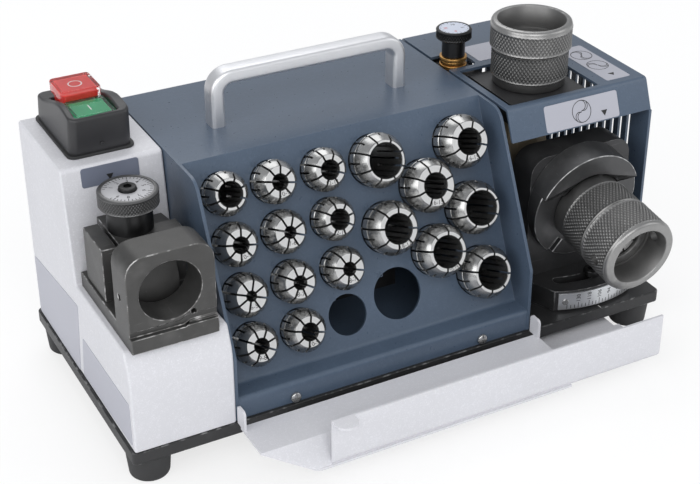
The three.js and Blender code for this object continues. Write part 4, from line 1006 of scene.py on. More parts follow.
class GRINDER_OT_gauge(bpy.types.Operator):
    """Setting gauge: block with its bore, side block, slide, and the numbered dial"""

    bl_idname = "grinder.gauge"
    bl_label = "Setting gauge"

    def execute(self, context):
        scene = context.scene
        seat = np.array([0, 0, housing.ledge])
        edge = scene.grinder_edges.steel
        # The gauge steel's bevels carry a painted edge highlight.
        looks = {"edge": edge, "lightened": "gauge_edge"}
        make("gauge_block", laid(self.block(), seat), "root", "gauge_steel", stands_for="gauge_body",
             clamped=False, **looks)
        steps = [
            (side_block.front, gauge.slot_floor), (side_block.back, gauge.slot_floor),
            (side_block.back, side_block.top), (side_block.front, side_block.top)]
        make("gauge_side", laid(prism(steps, "x", side_block.left, side_block.right), seat), "root",
             "gauge_steel", stands_for="gauge_side_block", **looks)
        wedge = [
            (slide.back, gauge.slot_floor + CLEAR), (slide.back, slide.top),
            (slide.front + slide.chamfer, slide.top), (slide.front, slide.top - 2 * slide.chamfer),
            (slide.front, gauge.slot_floor + CLEAR)][::-1]
        stem = prism(circle(gauge.bore_x, gauge.bore_height, slide.stem), "y", slide.back - slide.root,
                     slide.back + slide.reach)
        shape = together(prism(wedge, "x", slide.left, slide.right), stem)
        # The slide's bevels carry a painted edge highlight.
        make("gauge_stop", laid(shape, seat), "gauge_slide", "gauge_steel", edge=edge / 2,
             lightened="gauge_edge", stands_for="gauge_slide")
        self.dial(scene.grinder_knurl.fine_pitch)
        return {"FINISHED"}

    def block(self):
        face = gauge.front + gauge.face_set
        front = prism(rounded([
            (gauge.left, 0), (gauge.right, 0), (gauge.right, gauge.top, gauge.corner),
            (gauge.left, gauge.top, gauge.corner)]), "y", face, gauge.plate_back)
        floor = block(gauge.left, gauge.right, gauge.front, gauge.back, 0, gauge.slot_floor)
        rear = block(gauge.block_left, gauge.right, gauge.block_front, gauge.back, 0, gauge.block_top)
        high = gauge.foot_top + gauge.step_up
        groove_end = gauge.front + gauge.groove_depth
        mouth = turned([
            (0, -BEYOND), (gauge.bore + gauge.dish, -BEYOND), (gauge.bore + gauge.dish, -gauge.skim),
            (gauge.bore, gauge.dish_depth), (gauge.bore, gauge.plate_back - face + BEYOND),
            (0, gauge.plate_back)], FINE)
        ramp = [
            (gauge.ramp_front, gauge.block_top + BEYOND),
            (gauge.ramp_front, gauge.block_top - gauge.ramp_fall / 2),
            (gauge.back + BEYOND, gauge.block_top - gauge.ramp_fall),
            (gauge.back + BEYOND, gauge.block_top + BEYOND)]
        return cut(
            join(front, floor, rear),
            laid(mouth, (gauge.bore_x, face, gauge.bore_height), up=(0, 0, -1)),
            prism(circle(gauge.pin_x, gauge.pin_height, gauge.pin, COARSE), "y", -BEYOND,
                  gauge.plate_back / 2),
            prism(circle(gauge.side_hole_y, gauge.side_hole_height, gauge.side_hole, COARSE), "x",
                  -BEYOND, gauge.bore_x),
            block(-BEYOND, gauge.step_at, -BEYOND, groove_end, gauge.foot_top,
                  gauge.foot_top + gauge.groove),
            prism([(gauge.step_at, gauge.foot_top), (gauge.step_at + gauge.step_run, high),
                   (gauge.right + BEYOND, high), (gauge.right + BEYOND, high + gauge.groove),
                   (gauge.step_at + gauge.step_run / 2, high + gauge.groove),
                   (gauge.step_at - gauge.step_run / 2, gauge.foot_top + gauge.groove)],
                  "y", -BEYOND, groove_end),
            prism(ramp, "x", gauge.ramp_left, gauge.right + BEYOND),
            prism(circle(gauge.bore_x, gauge.bore_height, slide.stem + CLEAR, COARSE), "y",
                  gauge.block_front - BEYOND, slide.back + slide.reach + BEYOND))

    def dial(self, pitch):
        middle = np.array([dial.x, dial.y, housing.ledge])
        hub_foot = gauge.block_top
        hub = rounded([
            (0, hub_foot), (dial.hub, hub_foot), (dial.hub, dial.hub_top, dial.hub_edge),
            (0, dial.hub_top)])
        make("dial_post", laid(turned(hub), middle), "root", "knob_black", stands_for="dial_hub")
        low = dial.hub_top + CLEAR
        high = low + dial.height
        floor = high - dial.recess
        bore = dial.shank + CLEAR
        belt = (dial.radius, pitch, low + dial.rim, high - dial.rim)
        profile = [
            (bore, low), (dial.radius - dial.rim, low), *band(*belt),
            (dial.radius - dial.rim, high), (dial.face, high), (dial.face, floor), (bore, floor)]
        ring = knurled(profile, *belt)
        make("dial_ring", laid(ring, middle), "web_dial", "dial_steel", stands_for="web_dial",
             values={"groove": groove_share(ring, *belt)}, soft=50)
        plate_top = floor + dial.face_lift
        face = turned(rounded([
            (dial.screw + dial.screw_gap, floor), (dial.face, floor), (dial.face, plate_top, dial.face_edge),
            (dial.screw + dial.screw_gap, plate_top)], 2), FINE)
        make("dial_face", laid(face, middle), "web_dial", "dial_white")
        marks, figures = [], []
        for i in range(dial.bare, dial.divisions - dial.bare + 1):
            long = i % dial.each == 0
            rim = dial.face - dial.tick_in
            length = dial.tick_long if long else dial.tick_short
            turn = 90 - i * 360 / dial.divisions
            tick = block(-dial.tick / 2, dial.tick / 2, rim - length, rim, 0, plate.mark)
            marks.append(spun(tick, turn))
            if long:
                words = lettering(str(i // dial.each), dial.figure, plate.mark)
                figures.append(spun((words[0] + [0, dial.face - dial.figure_in, 0], words[1]), turn))
        make("dial_marks", laid(together(*marks, *figures), middle + [0, 0, plate_top]), "web_dial", "ink")
        head_low = floor + CLEAR
        head = rounded([
            (0, hub_foot + dial.root), (dial.shank, hub_foot + dial.root), (dial.shank, head_low),
            (dial.screw, head_low), (dial.screw, head_low + dial.screw_height, dial.screw_edge),
            (0, head_low + dial.screw_height)], 4)
        key = prism(circle(0, 0, dial.socket, HEXAGON), "z",
                    head_low + dial.screw_height - dial.socket_depth, head_low + dial.height)
        make("dial_bolt", laid(cut(turned(head), key), middle), "root", "knob_black",
             stands_for="dial_screw")


PANEL_UP = np.array([0, np.cos(slope), np.sin(slope)])
PANEL_TOP = np.array([0, rack.top_bend, casing.height])


def on_panel(solid, x, down, lift=0.0):
    """Solid drawn on the sloping panel, a distance down from its top bend."""
    normal = np.cross([1, 0, 0], PANEL_UP)
    return laid(solid, PANEL_TOP + [x, 0, 0] - PANEL_UP * down + normal * lift, up=PANEL_UP)


class GRINDER_OT_rack(bpy.types.Operator):
    """Rack cover of bent sheet, its screws and the size figures by its holes"""

    bl_idname = "grinder.rack"
    bl_label = "Rack cover"

    def execute(self, context):
        scene = context.scene
        t, top = casing.sheet, casing.height
        cheek = rounded([
            (base.depth, 0), (base.depth, top, casing.bend), (rack.cheek_top, top, rack.cheek_round),
            (rack.cheek_front, rack.cheek_knee, rack.knee_round), (rack.cheek_front, 0)])
        front = [(rack.top_bend, top, 0), (rack.fold_y, rack.fold_height, casing.bend),
                 (rack.apron_y, rack.fold_height, casing.bend), (rack.apron_y, 0, 0)]
        ahead = rounded([
            (rack.top_bend, top + BEYOND, 0), *front, (rack.apron_y, -BEYOND), (-BEYOND, -BEYOND),
            (-BEYOND, top + BEYOND)][::-1])
        within = sideways([
            (rack.apron_y, 0), (rack.apron_y, rack.fold_height), (rack.fold_y, rack.fold_height),
            (rack.top_bend, top), (base.depth, top), (base.depth, 0)], -t)
        inside = rounded([
            (within[0][0], -BEYOND), *[(a, b, t / 2) for a, b in within[1:-1]],
            (within[-1][0], -BEYOND)][::-1])
        holes = [
            on_panel(prism(circle(x, -down, size.hole, FINE), "z", -2 * t, 2 * t), 0, 0)
            for _, size, spots in stores for x, down in spots.values()]
        shell = cut(
            prism(cheek, "x", rack.left, rack.right), prism(ahead, "x", rack.left + t, rack.right - t),
            prism(inside, "x", rack.left + t, rack.right - t),
            prism(circle(motor.y, motor.height, motor.nose + t), "x", rack.right - 2 * t, rack.right + t),
            *holes)
        make("rack_shell", shell, "root", "blue_coat", edge=scene.grinder_edges.sheet, segments=3,
             soft=28, stands_for="rack_cover")
        floor = block(rack.left + rack.floor_inset, rack.right - rack.floor_inset, rack.fold_y,
                      base.depth - rack.floor_inset, CLEAR, CLEAR + t)
        make("rack_floor", floor, "root", "blue_coat")
        head = rounded([
            (0, -screw.grip), (screw.shank, -screw.grip), (screw.shank, 0), (screw.radius, 0),
            (screw.radius, screw.head, screw.edge), (0, screw.head)])
        half, low = screw.slot / 2, screw.head - screw.slot_depth
        slot = block(-half, half, -screw.radius, screw.radius, low, screw.head + BEYOND)
        bar = block(-screw.radius, screw.radius, -half, half, low, screw.head + BEYOND)
        inner = cut(turned(head, COARSE), slot, bar)
        for name, x in (("cover_screw_1", screw.left_x), ("cover_screw_2", screw.right_x)):
            make(name + "_head", laid(inner, (x, rack.apron_y - CLEAR, screw.height), up=(0, 0, 1)),
                 "root", "bright_steel", stands_for=name)
        figures = []
        for _, size, spots in stores:
            for spot, (x, down) in spots.items():
                words = lettering(str(round({**bores, **empty}[spot])), rack.figure, rack.figure_rise)
                figures.append(on_panel(words, x - size.figure_left, down - size.figure_up))
        make("rack_figures", together(*figures), "root", "blue_coat")
        return {"FINISHED"}


class GRINDER_OT_handle(bpy.types.Operator):
    """Bow handle"""

    bl_idname = "grinder.handle"
    bl_label = "Carry handle"

    def execute(self, context):
        """Rounded bar section carried along the bow: the section's first axis is the path's
        left-hand normal, its second runs through the bar."""
        half = handle.bar / 2
        low = casing.height
        bend = handle.corner - half
        path = rounded([
            (handle.left + half, low), (handle.left + half, handle.top - half, bend),
            (handle.right - half, handle.top - half, bend), (handle.right - half, low)], handle.steps)
        ahead = np.gradient(path, axis=0)
        ahead[0], ahead[-1] = (0, 1), (0, -1)
        ahead /= np.linalg.norm(ahead, axis=1, keepdims=True)
        normal = np.column_stack([-ahead[:, 1], ahead[:, 0]])
        section = box_outline(-half, handle.front, half, handle.back, handle.edge)
        spots = np.empty((len(path), len(section), 3))
        spots[..., 0] = path[:, None, 0] + normal[:, None, 0] * section[None, :, 0]
        spots[..., 1] = section[None, :, 1]
        spots[..., 2] = path[:, None, 1] + normal[:, None, 1] * section[None, :, 0]
        around = len(section)
        u, v = np.meshgrid(np.arange(len(path) - 1), np.arange(around), indexing="ij")
        over = (v + 1) % around
        faces = np.stack([
            u * around + v, (u + 1) * around + v, (u + 1) * around + over, u * around + over], 2)
        ends = [np.arange(around).tolist(), ((len(path) - 1) * around + np.arange(around)).tolist()]
        make("handle_bow", (spots.reshape(-1, 3), faces.reshape(-1, 4).tolist() + ends), "root",
             "handle_silver", stands_for="carry_handle", soft=50)
        return {"FINISHED"}


class GRINDER_OT_collets(bpy.types.Operator):
    """Stored spring collets"""

    bl_idname = "grinder.collets"
    bl_label = "Collets"

    def execute(self, context):
        scene = context.scene
        for kind, size, spots in stores:
            nose = (size.radius - size.face) / np.tan(COLLET_NOSE)
            seat = (size.radius - size.hole * np.cos(np.pi / HOLE_SIDES) + CLEAR) / np.tan(COLLET_TAPER)
            for i, (spot, (x, down)) in enumerate(spots.items()):
                if spot not in bores:
                    continue
                node = f"{kind}_collet_{spot}"
                place = (i * scatter.stride + scatter.start) % scatter.count
                turn = (place - scatter.count // 2) * scatter.turn
                body, face, figures = collet(scene, size, bores[spot] / 2, turn)
                lift = seat + nose
                make(node + "_body", on_panel(body, x, down, lift), node, "collet_steel", stands_for=node,
                     soft=24)
                make(node + "_face", on_panel(face, x, down, lift), node, "collet_face")
                make(node + "_size", on_panel(figures, x, down, lift), node, "engraving")
        return {"FINISHED"}


def collet(scene, size, bore, turn):
    """Spring collet with its face at height zero: fingers between slits cut from both ends.

    Both walls are radius against height. A slit of width w leaves the radius r at the angle
    arcsin(w / 2r) to each side of its middle, so that its cheeks stay parallel.
    """
    settings = scene.grinder_collets
    nose = (size.radius - size.face) / np.tan(COLLET_NOSE)
    edge = fingers.edge
    front_end = -size.length + settings.tail
    rear_end = -nose * fingers.slit_share
    ring = [-nose * share for share in fingers.ring_shares]
    crest, shoulder = size.radius - fingers.crest, size.radius - fingers.shoulder
    deep = size.radius - (size.radius - size.face) * fingers.ring_share
    rows = np.array([
        (0, size.face - edge), (-edge, size.face + edge * fingers.lip_share), (rear_end, 0),
        (-nose + edge, 0), (ring[0], crest), (ring[1], shoulder), (ring[2], deep), (ring[3], deep),
        (ring[4], shoulder), (ring[5], crest), (ring[6], size.radius - fingers.skin),
        (ring[6] - fingers.lead, 0), (-size.length * fingers.middle_share, 0), (front_end, 0),
        (-size.length + edge, 0), (-size.length, 0)])
    cone = rows[:, 1] == 0
    on_nose = cone & (rows[:, 0] > -nose)
    rows[on_nose, 1] = size.face - rows[on_nose, 0] * np.tan(COLLET_NOSE)
    on_taper = cone & (rows[:, 0] < -nose)
    rows[on_taper, 1] = size.radius - fingers.skin + (rows[on_taper, 0] - ring[6]) * np.tan(COLLET_TAPER)
    rows[-1, 1] -= edge
    height, outer = rows.T
    inner = np.where(height > -edge / 2, bore + edge * fingers.inner_share, bore)
    count = 2 * settings.slits
    per = 5
    share = np.linspace(0, 1, per)
    columns = count * per
    sector = np.repeat(np.arange(count), per)
    place = np.tile(share, count)

    def points(radius):
        gap = np.arcsin(np.clip(settings.width / 2 / radius, 0, 0.9))[:, None]
        first = sector[None] * 2 * np.pi / count + gap
        last = (sector[None] + 1) * 2 * np.pi / count - gap
        angle = first + (last - first) * place[None]
        return np.stack([radius[:, None] * np.cos(angle), radius[:, None] * np.sin(angle),
                         np.broadcast_to(height[:, None], angle.shape)], 2)
    spots = np.concatenate([points(outer), points(inner)]).reshape(-1, 3)
    levels = len(rows)
    faces = []
    rear = levels * columns

    def quads(a, b, c, d):
        faces.extend(np.stack(np.broadcast_arrays(a, b, c, d), -1).reshape(-1, 4).tolist())
    column = np.arange(columns)[None]
    inner_gap = (column % per) != per - 1
    slit = ((column // per) + 1) % count
    is_front = slit % 2 == 0
    open_here = np.where(
        is_front, height[1:, None] >= front_end - WELD, height[:-1, None] <= rear_end + WELD)
    keep = inner_gap | ~open_here
    r, c = np.nonzero(np.broadcast_to(keep, (levels - 1, columns)))
    n = (c + 1) % columns
    quads(r * columns + c, (r + 1) * columns + c, (r + 1) * columns + n, r * columns + n)
    quads(rear + r * columns + c, rear + r * columns + n, rear + (r + 1) * columns + n,
          rear + (r + 1) * columns + c)
    r, c = np.nonzero(~keep)
    n = (c + 1) % columns
    for side in (c, n):
        quads(r * columns + side, (r + 1) * columns + side, rear + (r + 1) * columns + side,
              rear + r * columns + side)
    slits = np.nonzero(~inner_gap[0])[0]
    for c in slits:
        n = (c + 1) % columns
        column_open = ~keep[:, c]
        change = np.nonzero(column_open[1:] != column_open[:-1])[0] + 1
        for level in change:
            quads(level * columns + c, level * columns + n, rear + level * columns + n,
                  rear + level * columns + c)
    for level, row in ((0, 0), (levels - 1, levels - 2)):
        c = np.nonzero(keep[row])[0]
        n = (c + 1) % columns
        quads(level * columns + c, level * columns + n, rear + level * columns + n,
              rear + level * columns + c)
    body = spun((spots, faces), -90 + 360 / count + turn)
    flat = []
    for k in range(settings.slits):
        low, high = bore + edge * fingers.face_in_share, size.face - edge * fingers.face_out_share
        turn_one = 2 * np.pi / settings.slits
        gap = [np.arcsin(settings.width / 2 / r) for r in (low, high)]
        near, far = [
            np.linspace(k * turn_one + side, (k + 1) * turn_one - side, fingers.steps) for side in gap]
        far = far[::-1]
        patch = np.concatenate([
            np.column_stack([high * np.cos(far), high * np.sin(far)]),
            np.column_stack([low * np.cos(near), low * np.sin(near)])])
        flat.append(prism(patch[::-1], "z", 0, fingers.face))
    face = spun(together(*flat), -90 + 180 / settings.slits + turn)
    width = size.face - bore
    span = int(round(2 * bore))
    words = lettering(
        f"{span}-{span - 1}", min(settings.numbers, width * fingers.figure_share), fingers.figure)
    if width > fingers.figure_room:
        figures = laid(words, (0, -(size.face + bore) / 2, fingers.face))
    else:
        lean = np.array([0, np.sin(COLLET_NOSE), np.cos(COLLET_NOSE)])
        down = nose * fingers.flank_share
        figures = laid(words, (0, -size.face - np.tan(COLLET_NOSE) * down, -down), up=lean)
    return body, face, spun(figures, turn)


class GRINDER_OT_hood(bpy.types.Operator):
    """Wheel cover with its slots, port, notch and plain plates"""

    bl_idname = "grinder.hood"
    bl_label = "Wheel cover"

    def execute(self, context):
        scene = context.scene
        t, top = casing.sheet, casing.height
        shape = rounded([
            (base.depth, 0), (base.depth, top, casing.bend), (hood.lip_top, top, casing.bend),
            (hood.lip_foot, hood.lip_foot_height), (hood.wall_front, hood.lip_foot_height),
            (hood.wall_front, 0)])
        lip = sideways([
            (hood.lip_foot, hood.lip_foot_height), (hood.lip_top, top), (base.depth, top),
            (base.depth, 0)], -t)
        inside = rounded([
            (hood.wall_front - BEYOND, -BEYOND), (hood.wall_front - BEYOND, hood.lip_foot_height),
            (lip[0][0], hood.lip_foot_height), (*lip[1], t / 2), (*lip[2], t / 2),
            (lip[3][0], -BEYOND)][::-1])

        def slot(at):
            half = hood.slot_width / 2
            return np.concatenate([
                arc(at, hood.slot_top - half, half, 0, 180), arc(at, hood.slot_foot + half, half, 180, 360)])
        pitch = np.arange(hood.slot_count) * hood.slot_pitch
        side = [prism(slot(hood.slot_start + at), "x", hood.right - 2 * t, hood.right + t) for at in pitch]
        back = [prism(slot(hood.back_start + at), "y", base.depth - 2 * t, base.depth + t)
                for at in pitch[:hood.back_count]]
        opening = box_outline(hood.port_left, hood.port_front, hood.port_right, hood.port_back,
                              hood.port_corner)
        notch = rounded([
            (hood.left - BEYOND, hood.notch_front), (hood.notch_right, hood.notch_front, hood.notch_corner),
            (hood.notch_right, hood.notch_back, hood.notch_corner), (hood.left - BEYOND, hood.notch_back)])
        shell = cut(
            prism(shape, "x", hood.left, hood.right),
            prism(inside, "x", hood.left - BEYOND, hood.right - t),
            prism(opening, "z", top - 2 * t, top + t), prism(notch, "z", top - 2 * t, top + t),
            *side, *back)
        shell = join(shell, block(
            hood.right - t - hood.flange, hood.right - t / 2, hood.slot_start, base.depth - t / 2, 0, t))
        make("hood_shell", shell, "root", "blue_coat", edge=scene.grinder_edges.sheet, segments=3, soft=28,
             stands_for="wheel_cover")
        self.plates()
        return {"FINISHED"}

    def plates(self):
        fall = np.array([0, hood.lip_top - hood.lip_foot, casing.height - hood.lip_foot_height])
        fall = fall / np.linalg.norm(fall)
        foot_of = np.array([0, hood.lip_foot, hood.lip_foot_height])
        normal = np.cross([1, 0, 0], fall)
        make("lip_plate", laid(foil(lip_plate), foot_of, up=fall), "root", "silver_plate",
             edge=plate.edge)
        pointer = triangle_mark(plate.pointer_width, plate.pointer_height)
        marks = together(
            laid(tip_mark(0), (lip_plate.sign, lip_plate.sign_up, 0)),
            laid(pointer, (lip_plate.pointer, lip_plate.pointer_up, 0)))
        make("lip_marks", laid(marks, foot_of + normal * plate.thickness, up=fall), "root", "ink")
        top = casing.height
        for name, size in (("top_plate", top_plate), ("rear_plate", rear_plate)):
            make(name, laid(foil(size), (0, 0, top)), "root", "silver_plate", edge=plate.edge)
        signs = together(
            laid(tip_mark(top_plate.far_turn), (top_plate.sign, top_plate.far_sign, 0)),
            laid(tip_mark(top_plate.near_turn), (top_plate.sign, top_plate.near_sign, 0)),
            laid(pointer, (top_plate.sign, top_plate.pointer, 0)))
        make("top_marks", laid(signs, (0, 0, top + plate.thickness)), "root", "ink")


class GRINDER_OT_web_port(bpy.types.Operator):
    """Sliding plate of the web port, its lock rings and its feed knob"""

    bl_idname = "grinder.web_port"
    bl_label = "Web port"

    def execute(self, context):
        scene = context.scene
        under = port.top - port.thickness
        shape = rounded([
            (port.arm_left, port.back), (port.left, port.back), (port.left, port.front, port.corner),
            (port.right, port.front, port.corner), (port.right, port.back, port.corner),
            (port.arm_right, port.back), (port.arm_right, port.arm_back, port.corner),
            (port.arm_left, port.arm_back, port.corner)])
        slab = prism(shape, "z", under, port.top, [
            circle(top_chuck.x, top_chuck.y, grip.nose + grip.gap, FINE)[::-1],
            circle(knob.x, knob.y, knob.shank + CLEAR, COARSE)[::-1]])
        # The port slab's bevels carry a painted edge highlight.
        make("port_slab", slab, "port_plate", "port_black", edge=scene.grinder_edges.steel,
             lightened="port_edge", stands_for="top_port_plate")
        low, high = port.top, knob.stem_foot - CLEAR
        third = (high - low) / 3
        rings = []
        for i in range(3):
            reach = knob.ring - (knob.ring_groove if i == 1 else 0)
            rings.append(turned(rounded([
                (knob.shank + CLEAR, low + i * third), (reach, low + i * third, knob.ring_edge),
                (reach, low + (i + 1) * third, knob.ring_edge),
                (knob.shank + CLEAR, low + (i + 1) * third)], 3)))
        at = np.array([knob.x, knob.y, 0])
        make("lock_rings", laid(together(*rings), at), "port_plate", "brass", stands_for="feed_lock_ring",
             soft=50)
        belt = (knob.radius, scene.grinder_knurl.fine_pitch, knob.skirt + knob.edge, knob.top - knob.edge)
        profile = [
            (0, knob.shank_foot), (knob.shank, knob.shank_foot), (knob.shank, knob.stem_foot),
            (knob.stem, knob.stem_foot), (knob.stem, knob.skirt), (knob.radius - knob.edge, knob.skirt),
            *band(*belt), (knob.radius - knob.edge, knob.top),
            (knob.face, knob.top), (knob.face, knob.top - knob.recess), (0, knob.top - knob.recess)]
        shape = knurled(profile, *belt)
        make("knob_grip", laid(shape, at), "feed_knob", "knob_black", stands_for="feed_knob", soft=50,
             values={"groove": groove_share(shape, *belt)})
        low, high, rim = knob.top - knob.recess, knob.top - knob.face_drop, knob.face - knob.face_gap
        face = turned([(0, low), (rim, low), (rim, high), (0, high)])
        make("knob_face", laid(face, at), "feed_knob", "knob_white")
        black, red = [], []
        rim = knob.face - knob.tick_in
        for i in range(knob.ticks):
            length = knob.tick_short if i % knob.each else knob.tick_long
            tick = block(-knob.tick / 2, knob.tick / 2, rim - length, rim, 0, plate.mark)
            black.append(spun(tick, i * 360 / knob.ticks))
        last = knob.figures - 1
        for i in range(knob.figures):
            words = lettering(str(knob.each * (last - i)), knob.figure, plate.mark)
            words = (words[0] + [0, knob.face - knob.figure_in, 0], words[1])
            (red if i in (0, last) else black).append(spun(words, knob.figure_turn - i * 360 / knob.figures))
        lift = at + [0, 0, high]
        make("knob_marks", laid(together(*black), lift), "feed_knob", "ink")
        make("knob_red_marks", laid(together(*red), lift), "feed_knob", "red_ink")
        return {"FINISHED"}


AXIS_AT = np.array([axis.x, axis.y, axis.height])
AXIS_UP = np.array([0, np.cos(np.radians(90 + axis.tilt)), np.sin(np.radians(90 + axis.tilt))])


def tilted(solid):
    """Solid drawn on the face of the tilted disc."""
    return laid(solid, AXIS_AT, up=AXIS_UP)


class GRINDER_OT_chucks(bpy.types.Operator):
    """Two collet holders: knurled sleeve, knurled nut, and the collet between them"""

    bl_idname = "grinder.chucks"
    bl_label = "Chucks"

    def execute(self, context):
        scene = context.scene
        stand = np.array([top_chuck.x, top_chuck.y, port.top])
        self.chuck(scene, "top", top_chuck, lambda solid: laid(solid, stand))
        self.chuck(scene, "front", front_chuck, tilted)
        return {"FINISHED"}

    def chuck(self, scene, name, size, put):
        pitch = scene.grinder_knurl.pitch
        lip_top = size.total - size.mouth_depth
        face = lip_top - grip.lip
        widest = face - (large.radius - large.face) / np.tan(COLLET_NOSE)

        def cone(height):
            return large.radius - (widest - height) * np.tan(COLLET_TAPER) + grip.gap
        thread = size.split - size.thread
        nut_foot = size.split + grip.groove
        belt = (size.sleeve, pitch, size.foot_height + grip.edge, size.split - grip.edge)
        sleeve = [
            (cone(-grip.nose_length), -grip.nose_length), (grip.nose - grip.nose_edge, -grip.nose_length),
            (grip.nose, -grip.nose_length + grip.nose_edge), (grip.nose, CLEAR),
            (size.foot - grip.foot_edge, CLEAR), (size.foot, CLEAR + grip.foot_edge),
            (size.foot, size.foot_height - grip.foot_step), (size.sleeve - grip.edge, size.foot_height),
            *band(*belt), (size.sleeve - grip.edge, size.split), (grip.spigot + grip.gap, size.split),
            (grip.spigot + grip.gap, thread - grip.gap), (cone(thread - grip.gap), thread - grip.gap)]
        shape = knurled(sleeve, *belt)
        make(f"{name}_sleeve_knurled", put(shape), f"{name}_chuck_sleeve", "sleeve_steel", soft=45,
             stands_for=f"{name}_chuck_sleeve", values={"groove": groove_share(shape, *belt)})
        rim_low = size.total - size.rim
        belt = (size.nut, pitch, nut_foot + grip.edge, rim_low - grip.band_gap)
        ring = [
            (size.nut - grip.edge, nut_foot), *band(*belt),
            (size.nut - grip.waist, rim_low), (size.nut - grip.waist, size.total - grip.rim_low),
            (size.nut - grip.rim_mid_set, size.total - grip.rim_mid), (size.nut - grip.rim_set, size.total),
            (size.mouth + grip.bevel, size.total), (size.mouth, size.total - grip.bevel),
            (size.mouth, lip_top + grip.mouth_low), (size.mouth - grip.mouth_set, lip_top + grip.mouth_step),
            (size.mouth - grip.floor_set, lip_top), (large.face + grip.gap + grip.bevel, lip_top),
            (large.face + grip.gap, lip_top - grip.bevel),
            (large.face + grip.gap, face), (large.radius + grip.gap, widest),
            (large.radius + grip.gap, thread), (grip.spigot, thread), (grip.spigot, nut_foot)]
        shape = knurled(ring, *belt)
        if name == "front":
            tool = laid(prism(circle(0, 0, size.cross), "z", -size.nut - BEYOND, size.nut + BEYOND),
                        (0, 0, size.total - size.cross_inset), (0, 0, 1), (0, 1, 0))
            shape = cut(shape, spun(tool, size.cross_angle))
        # Painted shade: inside the nut's mouth the groove attribute is raised, so the steel there renders
        # darker, as if in shade.
        inside = np.hypot(shape[0][:, 0], shape[0][:, 1]) < size.mouth + WELD
        share = np.maximum(groove_share(shape, *belt), grip.grime_share * inside)
        make(f"{name}_nut_knurled", put(shape), f"{name}_chuck_nut", "chuck_steel", soft=45,
             stands_for=f"{name}_chuck_nut", values={"groove": share})
        body, front, figures = collet(scene, large, size.bore, 0)
        for part, solid, look in (
                ("body", body, "collet_steel"), ("face", front, "collet_face"),
                ("size", figures, "engraving")):
            spots = (solid[0] + [0, 0, face], solid[1])
            make(f"{name}_collet_{part}", put(spots), f"{name}_collet", look, soft=24,
                 stands_for=f"{name}_collet" if part == "body" else "")


